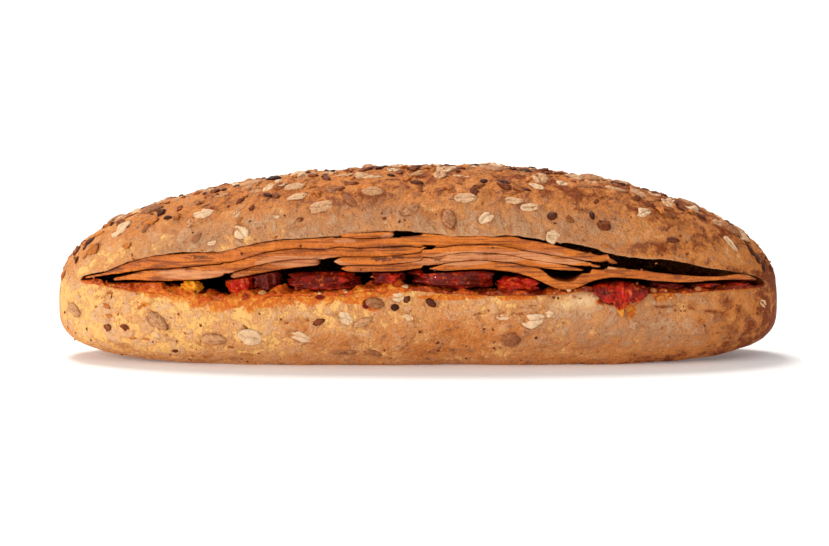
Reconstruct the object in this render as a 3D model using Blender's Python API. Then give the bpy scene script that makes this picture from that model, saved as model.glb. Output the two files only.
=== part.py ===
"""A submarine sandwich: a seeded roll slit along its front and filled with meat slices and dried tomato.

Metres, +Z up. +X runs along the roll, -Y is the open side, and the origin lies under the middle of the base.
The roll is one piece: the slit stops short of both tips and of the back, where crust joins the halves.
"""

import functools
import math

import bmesh
import bpy
from mathutils import Matrix, Vector, noise

# Roll, outside
LENGTH = 0.262
WIDTH = 0.084
HEIGHT = 0.0692
TIP_LEVEL = 0.0195
BELLY_RISE = 0.012
CROWN_SKEW = 0.052
LID_TILT = 0.07
CROWN_BEND = (1.91, 0.40)
KEEL_BEND = (5.0, 0.30)
PLAN_BEND = (2.8, 0.5)
UPPER_SQUARENESS = 2.4
LOWER_SQUARENESS = 2.8
BASE_SAG = 0.004
BASE_FLATTENING = 0.0004
LUMP_DEPTH = 0.0007
LUMP_SIZE = 0.030
GIRTH_FACES = 34
LENGTH_FACES = 50

# Slit: the lower lip's height, the opening above it and the depth behind it
LIP_LEVEL = 0.0266
LIP_WAVES = (
    (-0.121, 0.016, 0.0022), (-0.070, 0.012, -0.0022), (-0.008, 0.018, 0.0022), (0.057, 0.008, 0.0012),
)
MOUTH = 0.0204
MOUTH_ENDS = (-0.1230, 0.1275)
MOUTH_BEND = (3.0, 0.8)
MOUTH_LEAST = 0.0012
MOUTH_WAVES = (
    (-0.112, 0.007, -0.0017), (0.036, 0.012, 0.0010), (0.072, 0.026, -0.0030), (0.101, 0.010, -0.0012),
)
BACK_WALL = 0.013
POCKET_BEND = (8.0, 0.5)
BACK_SHARE = 0.66
BACK_ROUNDING = 0.9
POCKET_LEAST = 0.004
POCKET_END_SHARE = 0.2
CUTTER_REACH = 0.016
CUTTER_SHARE = 0.985
CUTTER_CROWDING = 0.22
CUTTER_CUTS = (36, 6, 0)
POCKET_END = 0.86

# Filling
GAP = 0.0004
SHARP_ANGLE = 50
SLICE_BACK = 0.80
SLICE_BACK_THICK = 0.0013
SLICE_REACH = 0.0025
SLICE_WOBBLE = 0.0009
WOBBLE_LENGTH = 0.011
SLICE_ROWS = 2
SLICE_SQUEEZE = 0.32
SLICE_ROUNDING = (3.0, 0.5, 0.25)

# Each slice: its thickness at the left end, the middle and the right end, its inset at the mouth,
# its rank from floor to roof at the back, and the line of its front edge, as (x, height)
SLICES = {
    "turkey_slice_1": ((0.0046, 0.0029, 0.0024), 0.0026, 0.76, (
        (-0.1195, 0.0302), (-0.1120, 0.0322), (-0.1050, 0.0341), (-0.0950, 0.0363), (-0.0817, 0.0377),
        (-0.0690, 0.0392), (-0.0564, 0.0414), (-0.0410, 0.0436), (-0.0266, 0.0446), (-0.0116, 0.0452),
        (0.0050, 0.0452), (0.0216, 0.0454), (0.0356, 0.0440), (0.0567, 0.0403), (0.0700, 0.0374))),
    "turkey_slice_2": ((0.0042, 0.0032, 0.0009), 0.0020, 0.42, (
        (-0.1085, 0.0304), (-0.1020, 0.0316), (-0.0948, 0.0325), (-0.0817, 0.0330), (-0.0724, 0.0341),
        (-0.0642, 0.0361), (-0.0564, 0.0380), (-0.0448, 0.0404), (-0.0266, 0.0411), (-0.0110, 0.0416),
        (0.0030, 0.0423))),
    "turkey_slice_3": ((0.0015, 0.0027, 0.0017), 0.0042, 0.44, (
        (-0.0660, 0.0328), (-0.0565, 0.0352), (-0.0484, 0.0370), (-0.0400, 0.0379), (-0.0346, 0.0382))),
    "turkey_slice_4": ((0.0024, 0.0022, 0.0014), 0.0012, 0.46, (
        (-0.0294, 0.0382), (-0.0168, 0.0385), (-0.0064, 0.0388), (0.0031, 0.0403), (0.0125, 0.0423),
        (0.0216, 0.0430), (0.0300, 0.0420), (0.0426, 0.0398), (0.0567, 0.0375), (0.0640, 0.0364))),
    "turkey_slice_5": ((0.0016, 0.0023, 0.0014), 0.0017, 0.32, (
        (-0.0270, 0.0359), (-0.0180, 0.0359), (-0.0064, 0.0364), (0.0031, 0.0379), (0.0125, 0.0398),
        (0.0216, 0.0404), (0.0300, 0.0394), (0.0426, 0.0374), (0.0580, 0.0352))),
    "turkey_slice_6": ((0.0018, 0.0028, 0.0014), 0.0008, 0.18, (
        (0.0040, 0.0360), (0.0216, 0.0373), (0.0310, 0.0366), (0.0370, 0.0353), (0.0426, 0.0331),
        (0.0485, 0.0303), (0.0530, 0.0296), (0.0574, 0.0313), (0.0623, 0.0333), (0.0680, 0.0340),
        (0.0765, 0.0336), (0.0852, 0.0323), (0.0983, 0.0312), (0.1084, 0.0312), (0.1215, 0.0301))),
    "turkey_slice_7": ((0.0007, 0.0013, 0.0018), 0.0022, 0.92, (
        (-0.0270, 0.0460), (-0.0220, 0.0465), (-0.0180, 0.0469), (-0.0130, 0.0473), (-0.0085, 0.0475))),
}
# The slices from the lowest to the topmost: each lies clear of those before it
STACK = (
    "turkey_slice_6", "turkey_slice_5", "turkey_slice_3", "turkey_slice_4",
    "turkey_slice_2", "turkey_slice_1", "turkey_slice_7",
)

# Each dried tomato piece: middle along the roll, length, height, depth, turn in degrees and roughening
TOMATOES = {
    "tomato_piece_1": (-0.0628, 0.0090, 0.0084, 0.014, 6, 0.30),
    "tomato_piece_2": (-0.0532, 0.0088, 0.0084, 0.012, -8, 0.34),
    "tomato_piece_3": (-0.0330, 0.0236, 0.0062, 0.015, 4, 0.30),
    "tomato_piece_4": (-0.0105, 0.0112, 0.0056, 0.013, -8, 0.30),
    "tomato_piece_5": (0.0122, 0.0276, 0.0086, 0.019, 0, 0.24),
    "tomato_piece_6": (0.0350, 0.0134, 0.0052, 0.013, 6, 0.30),
    "tomato_piece_7": (0.0880, 0.0108, 0.0044, 0.012, -6, 0.30),
    "tomato_piece_8": (0.1010, 0.0116, 0.0044, 0.011, 8, 0.30),
    "tomato_piece_9": (0.1137, 0.0092, 0.0038, 0.008, -14, 0.26),
}
TOMATO_INSET = 0.0016
FOOT_GAP = 0.0007
PRESS_GAP = 0.0005
LUMP_EDGE = 0.0008
LUMP_WRINKLES = 5.0
LUMP_VARIETY = 900
LUMP_FULLNESS = 0.75
TOMATO_SEGMENTS = (12, 8)
PEPPER_BIT = (-0.0800, 0.0072, 0.0046, 0.008, 0, 0.25)
SHRED_SPAN = (0.0613, 0.0806)
LIP_ROUND = 0.0016
SHRED_GAP = 0.0010
SHRED_INSIDE = 0.0095
SHRED_DRIP = 0.0072
SHRED_THICK = 0.0026
SHRED_EDGE = 0.0009
SHRED_FOLD = 0.625
SHRED_RAGGED = 0.2
SHRED_FRINGE = (0.72, 0.28)
SHRED_SIDE = 0.06
SHRED_BUMPS = 0.3
SHRED_CUTS = (10, 7, 0)

# Seeds fused to the crust: length, width and thickness, and how much of the thickness stands out
OAT = (0.0092, 0.0064, 0.0021, 0.42)
KERNEL = (0.0096, 0.0050, 0.0032, 0.40)
SEED_SEGMENTS = (8, 4)
# The ones that show at the front: x, degrees up from the front level, degrees turned from the roll's length
FRONT_OATS = (
    (-0.1080, 36, 32), (-0.0764, 50, 8), (-0.0437, 55, 12), (-0.0348, 46, -8), (0.0247, 33, 30),
    (0.0347, 52, 5), (0.0495, 19, 60), (0.0177, 54, 10), (0.0834, 35, -30), (0.1170, 30, -26),
    (-0.0600, -27, 10), (-0.0410, -25, -20), (-0.0255, -10, 60), (0.0424, -13, 14), (0.0490, -8, 20),
    (-0.0635, 28, -40),
)
FRONT_KERNELS = (
    (-0.1245, 4, -20), (-0.0944, -13, -36), (-0.0732, -27, 2), (-0.0164, 55, -10), (-0.0027, 42, 34),
    (0.0338, -29, 70), (0.0726, 58, -8), (0.1215, 42, -36), (-0.0520, 78, 5), (0.0396, 80, -15),
)
SCATTERED_SEEDS = 96
SCATTER_STEPS = (0.7549, 0.5698)
SCATTER_ROUND = (64, 208)
SCATTER_LENGTH = 0.93
SCATTER_TURN = 137
SEED_SPACE = 0.0104
KERNEL_EVERY = 3

# Colour and roughness
CRUST_LOOK = ((0.62, 0.40, 0.20), 0.75)
TURKEY_LOOK = ((0.66, 0.40, 0.22), 0.5)
TOMATO_LOOK = ((0.30, 0.03, 0.015), 0.3)
PEPPER_LOOK = ((0.80, 0.36, 0.03), 0.35)


def clear_scene():
    """Removes the objects of the startup scene."""
    for item in list(bpy.data.objects):
        bpy.data.objects.remove(item, do_unlink=True)


def taper(x, bend, half=LENGTH / 2):
    """1 at the roll's middle and 0 at its tip: (1 - share ** power) ** root."""
    power, root = bend
    return max(0.0, 1.0 - min(1.0, abs(x) / half) ** power) ** root


def waves(x, hills):
    """The sum of bell-shaped hills, each given by its middle, reach and rise."""
    return sum(rise * math.exp(-(((x - middle) / reach) ** 2)) for middle, reach, rise in hills)


def signed_power(value, power):
    return math.copysign(abs(value) ** power, value)


def crown_height(x):
    share = x / (LENGTH / 2)
    skew = 1.0 + CROWN_SKEW * share * (1.0 - share * share)
    return TIP_LEVEL + (HEIGHT - TIP_LEVEL) * taper(x, CROWN_BEND) * skew


def keel_height(x):
    return max(0.0, TIP_LEVEL * (1.0 - taper(x, KEEL_BEND)) - BASE_FLATTENING)


def half_width(x):
    return WIDTH / 2 * taper(x, PLAN_BEND)


def belly_height(x):
    return TIP_LEVEL + BELLY_RISE * taper(x, (2.0, 1.0))


def bowl_depth(x):
    """How far the lower half would bulge below its widest level if the base did not cut it flat."""
    return belly_height(x) - keel_height(x) + BASE_SAG * taper(x, (4.0, 1.0))


def crust_point(x, around):
    """A point of the crust. around runs from 0 at the front over the crown at pi / 2 to the back at pi."""
    across, up = math.cos(around), math.sin(around)
    squareness = UPPER_SQUARENESS if up > 0 else LOWER_SQUARENESS
    lid = crown_height(x) - belly_height(x)
    bowl = bowl_depth(x)
    y = -half_width(x) * signed_power(across, 2 / squareness)
    rise = (lid if up > 0 else bowl) * signed_power(up, 2 / squareness)
    z = belly_height(x) + rise
    if rise > 0 and lid > 0:
        z -= LID_TILT * y * rise / lid * taper(x, (2.0, 1.0))
    lump = LUMP_DEPTH * noise.noise(Vector((x, y, z)) / LUMP_SIZE) * taper(x, (6.0, 1.0))
    out = Vector((0.0, y, z - belly_height(x)))
    if out.length > 0:
        y += lump * out.y / out.length
        z += lump * out.z / out.length
    return Vector((x, y, max(z, keel_height(x))))


def crust_frame(x, around, turn, step=0.002):
    """The crust's point with axes along a seed, across it and outwards, from points a step away."""
    point = crust_point(x, around)
    along = (crust_point(x + step, around) - crust_point(x - step, around)).normalized()
    over = crust_point(x, around + step / WIDTH) - crust_point(x, around - step / WIDTH)
    outward = over.cross(along).normalized()
    if outward.dot(point - Vector((x, 0.0, belly_height(x)))) < 0:
        outward.negate()
    along = Matrix.Rotation(math.radians(turn), 3, outward) @ along
    return point, along, outward.cross(along).normalized(), outward


def lip_height(x):
    """Height of the lower half's cut edge."""
    return LIP_LEVEL + waves(x, LIP_WAVES)


def mouth_share(x):
    """How far x lies from the slit's middle, as a share of the way to its end."""
    return x / (MOUTH_ENDS[0] if x < 0 else MOUTH_ENDS[1])


def mouth_height(x):
    """How far the slit stands open at the front."""
    opening = MOUTH * taper(mouth_share(x), MOUTH_BEND, 1.0) + waves(x, MOUTH_WAVES)
    return max(opening, MOUTH_LEAST)


def lip_y(x):
    return -half_width(x)


def pocket_depth(x):
    room = max(POCKET_LEAST, 2 * half_width(x) - BACK_WALL)
    return room * max(POCKET_END_SHARE, taper(mouth_share(x), POCKET_BEND, 1.0))


def pocket_height(x, depth):
    """The slit's height, depth being 0 at the front and 1 at the hinge of crust at the back."""
    depth = min(max(depth, 0.0), 1.0)
    height = mouth_height(x) * (1.0 - depth * (1.0 - BACK_SHARE))
    if depth > POCKET_END:
        height *= math.sqrt(1.0 - BACK_ROUNDING * ((depth - POCKET_END) / (1.0 - POCKET_END)) ** 2)
    return height


def pocket_floor(x, depth):
    """The lower cut face, which rises a little where the pocket rounds off."""
    depth = min(max(depth, 0.0), 1.0)
    lost = mouth_height(x) * (1.0 - depth * (1.0 - BACK_SHARE)) - pocket_height(x, depth)
    return lip_height(x) + lost / 2


def pocket_point(x, depth, height):
    return Vector((x, lip_y(x) + depth * pocket_depth(x), height))


def along_line(points, x):
    """Height at x on the curve through the points, level with its ends beyond them."""
    last = len(points) - 1
    if x <= points[0][0]:
        return points[0][1]
    if x >= points[last][0]:
        return points[last][1]
    index = max(i for i in range(last) if points[i][0] <= x)
    slopes = []
    for i in (index, index + 1):
        (x_0, z_0), (x_1, z_1) = points[max(i - 1, 0)], points[min(i + 1, last)]
        slopes.append((z_1 - z_0) / (x_1 - x_0))
    (x_0, z_0), (x_1, z_1) = points[index], points[index + 1]
    width = x_1 - x_0
    s = (x - x_0) / width
    ends = z_0 * (1 - s) ** 2 * (1 + 2 * s) + z_1 * s * s * (3 - 2 * s)
    return ends + width * s * (1 - s) * (slopes[0] * (1 - s) - slopes[1] * s)


def food(name, colour, roughness):
    """A Principled BSDF material."""
    material = bpy.data.materials.new(name)
    material.use_nodes = True
    shader = material.node_tree.nodes["Principled BSDF"]
    shader.inputs["Base Color"].default_value = (*colour, 1.0)
    shader.inputs["Roughness"].default_value = roughness
    shader.inputs["Metallic"].default_value = 0.0
    return material


def finished(name, bm, material, collection):
    """Turns the edited shape into a named object."""
    if bm.calc_volume(signed=True) < 0:
        bmesh.ops.reverse_faces(bm, faces=bm.faces)
    mesh = bpy.data.meshes.new(name)
    bm.to_mesh(mesh)
    bm.free()
    mesh.shade_smooth()
    mesh.set_sharp_from_angle(angle=math.radians(SHARP_ANGLE))
    if material:
        mesh.materials.append(material)
    thing = bpy.data.objects.new(name, mesh)
    collection.objects.link(thing)
    return thing


def bent_box(name, cuts, place, material, collection):
    """A box with cuts along its three sides, each point then placed by place(u, v, w)."""
    bm = bmesh.new()
    bmesh.ops.create_cube(bm, size=1.0)
    for axis, count in enumerate(cuts):
        edges = [e for e in bm.edges if abs(e.verts[0].co[axis] - e.verts[1].co[axis]) > 0.5]
        if count:
            bmesh.ops.subdivide_edges(bm, edges=edges, cuts=count, use_grid_fill=True)
    for vertex in bm.verts:
        vertex.co = place(*(value + 0.5 for value in vertex.co))
    return finished(name, bm, material, collection)


def roll_body(material, collection):
    """The loaf: a sphere with its poles at the tips, reshaped to the crust."""
    bm = bmesh.new()
    bmesh.ops.create_uvsphere(bm, u_segments=GIRTH_FACES, v_segments=LENGTH_FACES, radius=1.0)
    for vertex in bm.verts:
        around = math.atan2(vertex.co.y, -vertex.co.x)
        vertex.co = crust_point(LENGTH / 2 * max(-1.0, min(1.0, vertex.co.z)), around)
    return finished("roll", bm, material, collection)


def slit_cutter(collection):
    """What the knife and the filling leave open: from in front of the lips back to the hinge of crust."""
    ends = [end * CUTTER_SHARE for end in MOUTH_ENDS]
    middle, half = (ends[0] + ends[1]) / 2, (ends[1] - ends[0]) / 2

    def place(u, v, w):
        t = 2 * u - 1
        x = middle + half * t * (1 + CUTTER_CROWDING * (1 - t * t))
        reach = CUTTER_REACH / pocket_depth(x)
        depth = v * (1.0 + reach) - reach
        return pocket_point(x, depth, pocket_floor(x, depth) + w * pocket_height(x, depth))

    cutter = bent_box("slit_cutter", CUTTER_CUTS, place, None, collection)
    triangulated(cutter)
    cutter.hide_render = True
    cutter.display_type = "WIRE"
    return cutter


def seed(name, size, frame, material, collection):
    """A flattened oval set into the crust."""
    length, width, thickness, proud = size
    point, along, across, outward = frame
    bm = bmesh.new()
    bmesh.ops.create_uvsphere(bm, u_segments=SEED_SEGMENTS[0], v_segments=SEED_SEGMENTS[1], radius=0.5)
    middle = point + outward * thickness * (proud - 0.5)
    for vertex in bm.verts:
        flat = vertex.co.copy()
        vertex.co = middle + along * flat.x * length + across * flat.y * width + outward * flat.z * thickness
    return finished(name, bm, material, collection)


def seed_places():
    """Every fused seed, as its size and its frame: first those named at the front, then an even scatter."""
    named = [(OAT, *place) for place in FRONT_OATS] + [(KERNEL, *place) for place in FRONT_KERNELS]
    low, high = SCATTER_ROUND
    for index in range(SCATTERED_SEEDS):
        along, around = [(0.5 + step * (index + 1)) % 1.0 for step in SCATTER_STEPS]
        x = LENGTH * SCATTER_LENGTH * (along - 0.5)
        kind = KERNEL if index % KERNEL_EVERY == 0 else OAT
        named.append((kind, x, low + (high - low) * around, SCATTER_TURN * index))
    found = []
    for size, x, degrees, turn in named:
        frame = crust_frame(x, math.radians(degrees), turn)
        if all((frame[0] - other[1][0]).length > SEED_SPACE for other in found):
            found.append((size, frame))
    return found


def triangulated(thing):
    """Splits the faces into triangles, so that a Boolean meets only flat ones."""
    bm = bmesh.new()
    bm.from_mesh(thing.data)
    bmesh.ops.triangulate(bm, faces=bm.faces)
    bm.to_mesh(thing.data)
    bm.free()


def joined(body, operation, **operand):
    """Applies one Boolean to the body."""
    modifier = body.modifiers.new("join", "BOOLEAN")
    modifier.operation = operation
    modifier.solver = "EXACT"
    for key, value in operand.items():
        setattr(modifier, key, value)
    bpy.context.view_layer.update()
    graph = bpy.context.evaluated_depsgraph_get()
    mesh = bpy.data.meshes.new_from_object(body.evaluated_get(graph))
    body.modifiers.remove(modifier)
    body.data = mesh
    triangulated(body)


def seeded_roll(collection):
    """The whole roll: the loaf, slit along its front, with the seeds of its crust."""
    crust = food("crust", *CRUST_LOOK)
    body = roll_body(crust, collection)
    triangulated(body)
    cutters = bpy.data.collections.new("cutters")
    bpy.context.scene.collection.children.link(cutters)
    joined(body, "DIFFERENCE", operand_type="OBJECT", object=slit_cutter(cutters))
    seeds = bpy.data.collections.new("seeds")
    bpy.context.scene.collection.children.link(seeds)
    for index, (size, frame) in enumerate(seed_places()):
        seed(f"seed_{index}", size, frame, crust, seeds)
    joined(body, "UNION", operand_type="COLLECTION", collection=seeds)
    for item in list(seeds.objects):
        bpy.data.objects.remove(item, do_unlink=True)
    bpy.data.collections.remove(seeds)
    return body


def slice_thickness(name, x, depth):
    """Thickness of a slice: its own at the mouth, alike at the back, less where the slit is narrow."""
    (left, middle, right), _, _, line = SLICES[name]
    u = min(max((x - line[0][0]) / (line[-1][0] - line[0][0]), 0.0), 1.0)
    front = middle + (left - middle) * max(0.0, 1 - 2 * u) ** 2 + (right - middle) * max(0.0, 2 * u - 1) ** 2
    thick = front + (SLICE_BACK_THICK - front) * min(depth / SLICE_BACK, 1.0)
    return min(thick, SLICE_SQUEEZE * pocket_height(x, depth))


@functools.lru_cache(maxsize=None)
def slice_level(name, x, depth):
    """Height of a slice's middle: its own line at the mouth, its rank at the back, clear of those below."""
    _, _, rank, line = SLICES[name]
    thick = slice_thickness(name, x, depth)
    front = along_line(line, x)
    back = pocket_floor(x, SLICE_BACK) + rank * pocket_height(x, SLICE_BACK)
    level = front + (back - front) * min(depth / SLICE_BACK, 1.0)
    level = min(level, pocket_floor(x, depth) + pocket_height(x, depth) - GAP - thick / 2)
    level = max(level, pocket_floor(x, depth) + GAP + thick / 2)
    for lower in STACK[:STACK.index(name)]:
        if spans(lower, x):
            top = slice_level(lower, x, depth) + slice_thickness(lower, x, depth) / 2
            level = max(level, top + GAP + thick / 2)
    return level


def spans(name, x):
    """Whether a slice reaches x, or nearly."""
    line = SLICES[name][3]
    return line[0][0] - SLICE_REACH < x < line[-1][0] + SLICE_REACH


def turkey_slice(name, material, collection):
    """A thin slice from the mouth back into the pocket, waving along its line."""
    _, inset, _, line = SLICES[name]
    power, root, least = SLICE_ROUNDING
    spaces = len(line) - 1

    def place(u, v, w):
        index = min(int(u * spaces + 1e-6), spaces - 1)
        x = line[index][0] + (line[index + 1][0] - line[index][0]) * (u * spaces - index)
        wobble = SLICE_WOBBLE * noise.noise(Vector((x / WOBBLE_LENGTH, STACK.index(name) * 2.3, 0.0)))
        first = (inset + wobble) / pocket_depth(x)
        narrowing = max(least, (1.0 - abs(2 * u - 1) ** power) ** root)
        depth = first + (SLICE_BACK - first) * narrowing * v
        level = slice_level(name, round(x, 7), round(depth, 7))
        return pocket_point(x, depth, level + (w - 0.5) * slice_thickness(name, x, depth))

    return bent_box(name, (2 * spaces - 1, SLICE_ROWS, 0), place, material, collection)


def roof_height(x, y):
    """The underside of whatever lies over a point in the mouth: a slice or the roll's upper half."""
    depth = max(0.0, (y - lip_y(x)) / pocket_depth(x))
    roof = pocket_floor(x, depth) + pocket_height(x, depth)
    for name in STACK:
        if spans(name, x):
            level = slice_level(name, round(x, 7), round(depth, 7))
            roof = min(roof, level - slice_thickness(name, x, depth) / 2)
    return roof


def front_crust_y(x, z):
    """Where the crust's front stands at a height below its widest level."""
    down = min(1.0, max(0.0, belly_height(x) - z) / bowl_depth(x))
    return -half_width(x) * (1.0 - down**LOWER_SQUARENESS) ** (1 / LOWER_SQUARENESS)


def over_lip(x, reach, lift):
    """A point lift off the bread: reach below 0 is on the cut face, above 0 down the crust from the lip."""
    if reach <= 0:
        base = Vector((x, lip_y(x) - reach, lip_height(x)))
    else:
        z = lip_height(x) - reach
        base = Vector((x, front_crust_y(x, z), z))
    lean = math.radians(90) * min(max(reach / LIP_ROUND + 0.5, 0.0), 1.0)
    return base + Vector((0.0, -math.sin(lean), math.cos(lean))) * lift


def lump(name, spec, material, collection):
    """A wrinkled piece lying on the cut face just behind the lip, pressed flat by what lies over it."""
    x, length, height, depth, turn, rough = spec
    bm = bmesh.new()
    bmesh.ops.create_uvsphere(bm, u_segments=TOMATO_SEGMENTS[0], v_segments=TOMATO_SEGMENTS[1], radius=0.5)
    floor = lip_height(x) + FOOT_GAP
    middle = Vector((x, lip_y(x) + TOMATO_INSET + depth / 2, floor + height / 2))
    spin = Matrix.Rotation(math.radians(turn), 3, "Z")
    for vertex in bm.verts:
        ball = Vector(signed_power(2 * value, LUMP_FULLNESS) / 2 for value in vertex.co)
        grow = 1.0 + rough * noise.noise(ball * LUMP_WRINKLES + Vector((x * LUMP_VARIETY, 0.0, 0.0)))
        point = middle + spin @ (Vector((ball.x * length, ball.y * depth, ball.z * height)) * grow)
        roof = roof_height(point.x, point.y) - PRESS_GAP
        foot = lip_height(point.x) + FOOT_GAP / 2
        share = min(max((point.z - middle.z) / height + 0.5, 0.0), 1.0)
        point.z = max(foot + LUMP_EDGE * share, min(point.z, roof - LUMP_EDGE * (1.0 - share)))
        vertex.co = point
    return finished(name, bm, material, collection)


def tomato_shred(material, collection):
    """The ragged piece that hangs out over the lip."""

    def place(u, v, w):
        ragged = SHRED_RAGGED * noise.noise(Vector((u * 7.0, 1.0, 0.0)))
        x = SHRED_SPAN[0] + (SHRED_SPAN[1] - SHRED_SPAN[0]) * (u + ragged * v / 4)
        middle, swing = SHRED_FRINGE
        fringe = middle + swing * math.cos(u * 4 * math.pi) + ragged
        crown = math.sin(math.pi * min(max(u, SHRED_SIDE), 1.0 - SHRED_SIDE)) ** 0.5
        inner, outer = v / SHRED_FOLD - 1.0, (v - SHRED_FOLD) / (1.0 - SHRED_FOLD)
        reach = SHRED_INSIDE * inner if inner < 0 else SHRED_DRIP * fringe * crown * outer
        bump = 1.0 + SHRED_BUMPS * noise.noise(Vector((u * 9.0, v * 7.0, 5.0)))
        lift = SHRED_GAP + w * max(SHRED_THICK * bump * crown, SHRED_EDGE)
        return over_lip(x, reach, lift)

    return bent_box("tomato_shred", SHRED_CUTS, place, material, collection)


def main():
    """Builds every piece into one collection."""
    clear_scene()
    sandwich = bpy.data.collections.new("submarine_sandwich")
    bpy.context.scene.collection.children.link(sandwich)
    seeded_roll(sandwich)
    turkey = food("turkey", *TURKEY_LOOK)
    for name in SLICES:
        turkey_slice(name, turkey, sandwich)
    tomato = food("dried_tomato", *TOMATO_LOOK)
    for name, spec in TOMATOES.items():
        lump(name, spec, tomato, sandwich)
    tomato_shred(tomato, sandwich)
    lump("pepper_bit", PEPPER_BIT, food("yellow_pepper", *PEPPER_LOOK), sandwich)


main()
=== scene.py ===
"""Dresses the submarine sandwich: crust, seeds, meat, dried tomato, sauce and crumbs, in a white studio.

Metres, +Z up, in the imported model's frame: +X runs along the roll and -Y is the open side. The shapes repeat
the part's own formulas, so each piece stays where its solid is, and add the relief and finish of real food.
"""

import itertools
import logging
import math
from dataclasses import dataclass
from enum import Enum

import bpy
import numpy as np
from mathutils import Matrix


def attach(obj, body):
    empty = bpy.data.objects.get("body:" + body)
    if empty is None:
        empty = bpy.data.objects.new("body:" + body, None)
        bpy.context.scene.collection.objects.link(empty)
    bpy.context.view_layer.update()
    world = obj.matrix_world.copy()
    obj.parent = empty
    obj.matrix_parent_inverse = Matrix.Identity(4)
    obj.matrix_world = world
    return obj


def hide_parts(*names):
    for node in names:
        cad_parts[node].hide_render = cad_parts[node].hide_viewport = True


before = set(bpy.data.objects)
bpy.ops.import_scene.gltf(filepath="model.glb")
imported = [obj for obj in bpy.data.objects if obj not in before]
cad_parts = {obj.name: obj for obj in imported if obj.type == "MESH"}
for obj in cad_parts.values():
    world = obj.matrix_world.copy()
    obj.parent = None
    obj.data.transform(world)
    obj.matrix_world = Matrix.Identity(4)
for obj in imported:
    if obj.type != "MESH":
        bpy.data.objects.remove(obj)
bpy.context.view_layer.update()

LOG = logging.getLogger("sandwich")
Array = np.ndarray
Colour = tuple[float, float, float]


# Numbers and noise


def taper(x: Array, bend: tuple[float, float], half: float) -> Array:
    """1 in the middle and 0 at half: (1 - share ** power) ** root.

    Args:
        x: Distances from the middle.
        bend: The power and the root.
        half: Distance at which the value reaches 0.
    Returns:
        The value for each x.
    """
    power, root = bend
    return np.maximum(0.0, 1.0 - np.minimum(1.0, np.abs(x) / half) ** power) ** root


def bell(off: Array, reach: Array | float) -> Array:
    """A bell-shaped fall from 1: exp(-(off / reach) ** 2)."""
    return np.exp(-((off / reach) ** 2))


def waves(x: Array, hills: tuple) -> Array:
    """Adds bell-shaped hills.

    Args:
        x: Places along the roll.
        hills: Each hill's middle, reach and rise.
    Returns:
        The summed height for each x.
    """
    return sum(rise * bell(x - middle, reach) for middle, reach, rise in hills)


def rounded_end(share: Array) -> Array:
    """A quarter circle's height, from 0 at share 0 to 1 at share 1: sqrt(1 - (1 - share) ** 2)."""
    return np.sqrt(1 - (1 - share) ** 2)


def on_line(x: Array, row: float = 0.0) -> Array:
    """Points along x in a row of their own, for noise that varies along x alone."""
    return np.stack((x, x * 0 + row, x * 0), -1)


def smooth(value: Array, low: float, high: float) -> Array:
    """Rises from 0 at low to 1 at high along a smooth step; low may be the larger.

    Args:
        value: Values to place between the limits.
        low: Where the step starts.
        high: Where the step ends.
    Returns:
        The step's height for each value.
    """
    share = np.clip((value - low) / (high - low), 0.0, 1.0)
    return share * share * (3.0 - 2.0 * share)


def signed_power(value: Array, power: float) -> Array:
    """The power of a value's size, with the value's sign."""
    return np.sign(value) * np.abs(value) ** power


def unit(vectors: Array) -> Array:
    """The vectors at length 1."""
    return vectors / np.maximum(np.linalg.norm(vectors, axis=-1, keepdims=True), 1e-12)


def noise(points: Array, seed: int = 0) -> Array:
    """Smooth noise of about -1 to 1: random slopes at the corners of unit cells, blended by a quintic step.

    Args:
        points: Points, the last axis being x, y and z in cells.
        seed: Chooses the slopes.
    Returns:
        The noise at each point.
    """
    cells = np.floor(points).astype(np.int64)
    local = points - cells
    fade = local**3 * (local * (local * 6.0 - 15.0) + 10.0)
    slopes = unit(np.random.default_rng(seed).normal(size=(256, 3)))
    total = np.zeros(points.shape[:-1])
    for corner in itertools.product((0, 1), repeat=3):
        offset = np.array(corner)
        x, y, z = np.moveaxis(cells + offset, -1, 0)
        key = (x * 73856093) ^ (y * 19349663) ^ (z * 83492791)
        key = ((key ^ (key >> 7)) * 1274126177) >> 9
        weight = np.prod(np.where(offset, fade, 1.0 - fade), axis=-1)
        total += weight * np.einsum("...i,...i->...", slopes[key & 255], local - offset)
    return 1.6 * total


def layered(points: Array, size: float, seed: int, layers: int = 3) -> Array:
    """Noise at a size and at halves of it, each layer half as strong as the last.

    Args:
        points: Points in metres.
        size: The largest layer's size in metres.
        seed: Chooses the pattern.
        layers: How many sizes are added.
    Returns:
        The noise at each point, of about -1 to 1.
    """
    return sum(noise(points * (2**k / size), seed + k) / 2**k for k in range(layers)) / 1.4


# Meshes


def grid_faces(rows: int, columns: int, wrap: bool, start: int = 0) -> Array:
    """The four-cornered faces of a grid of points.

    Args:
        rows: Number of rows of points.
        columns: Number of points in a row.
        wrap: Whether each row closes on itself.
        start: Index of the first point.
    Returns:
        One row of four indices for each face.
    """
    row = np.arange(rows - 1)[:, None] * columns
    column = np.arange(columns if wrap else columns - 1)[None, :]
    beside = (column + 1) % columns
    corners = (row + column, row + beside, row + columns + beside, row + columns + column)
    return np.stack(corners, -1).reshape(-1, 4) + start


def signed_volume(points: Array, faces: Array) -> float:
    """A closed mesh's volume, below 0 where its faces point inwards.

    Args:
        points: The points.
        faces: Four indices a face; a triangle repeats its last.
    Returns:
        The volume in cubic metres.
    """
    a, b, c, d = (points[faces[:, k]] for k in range(4))
    return float((np.einsum("ij,ij->", a, np.cross(b, c)) + np.einsum("ij,ij->", a, np.cross(c, d))) / 6.0)


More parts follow.
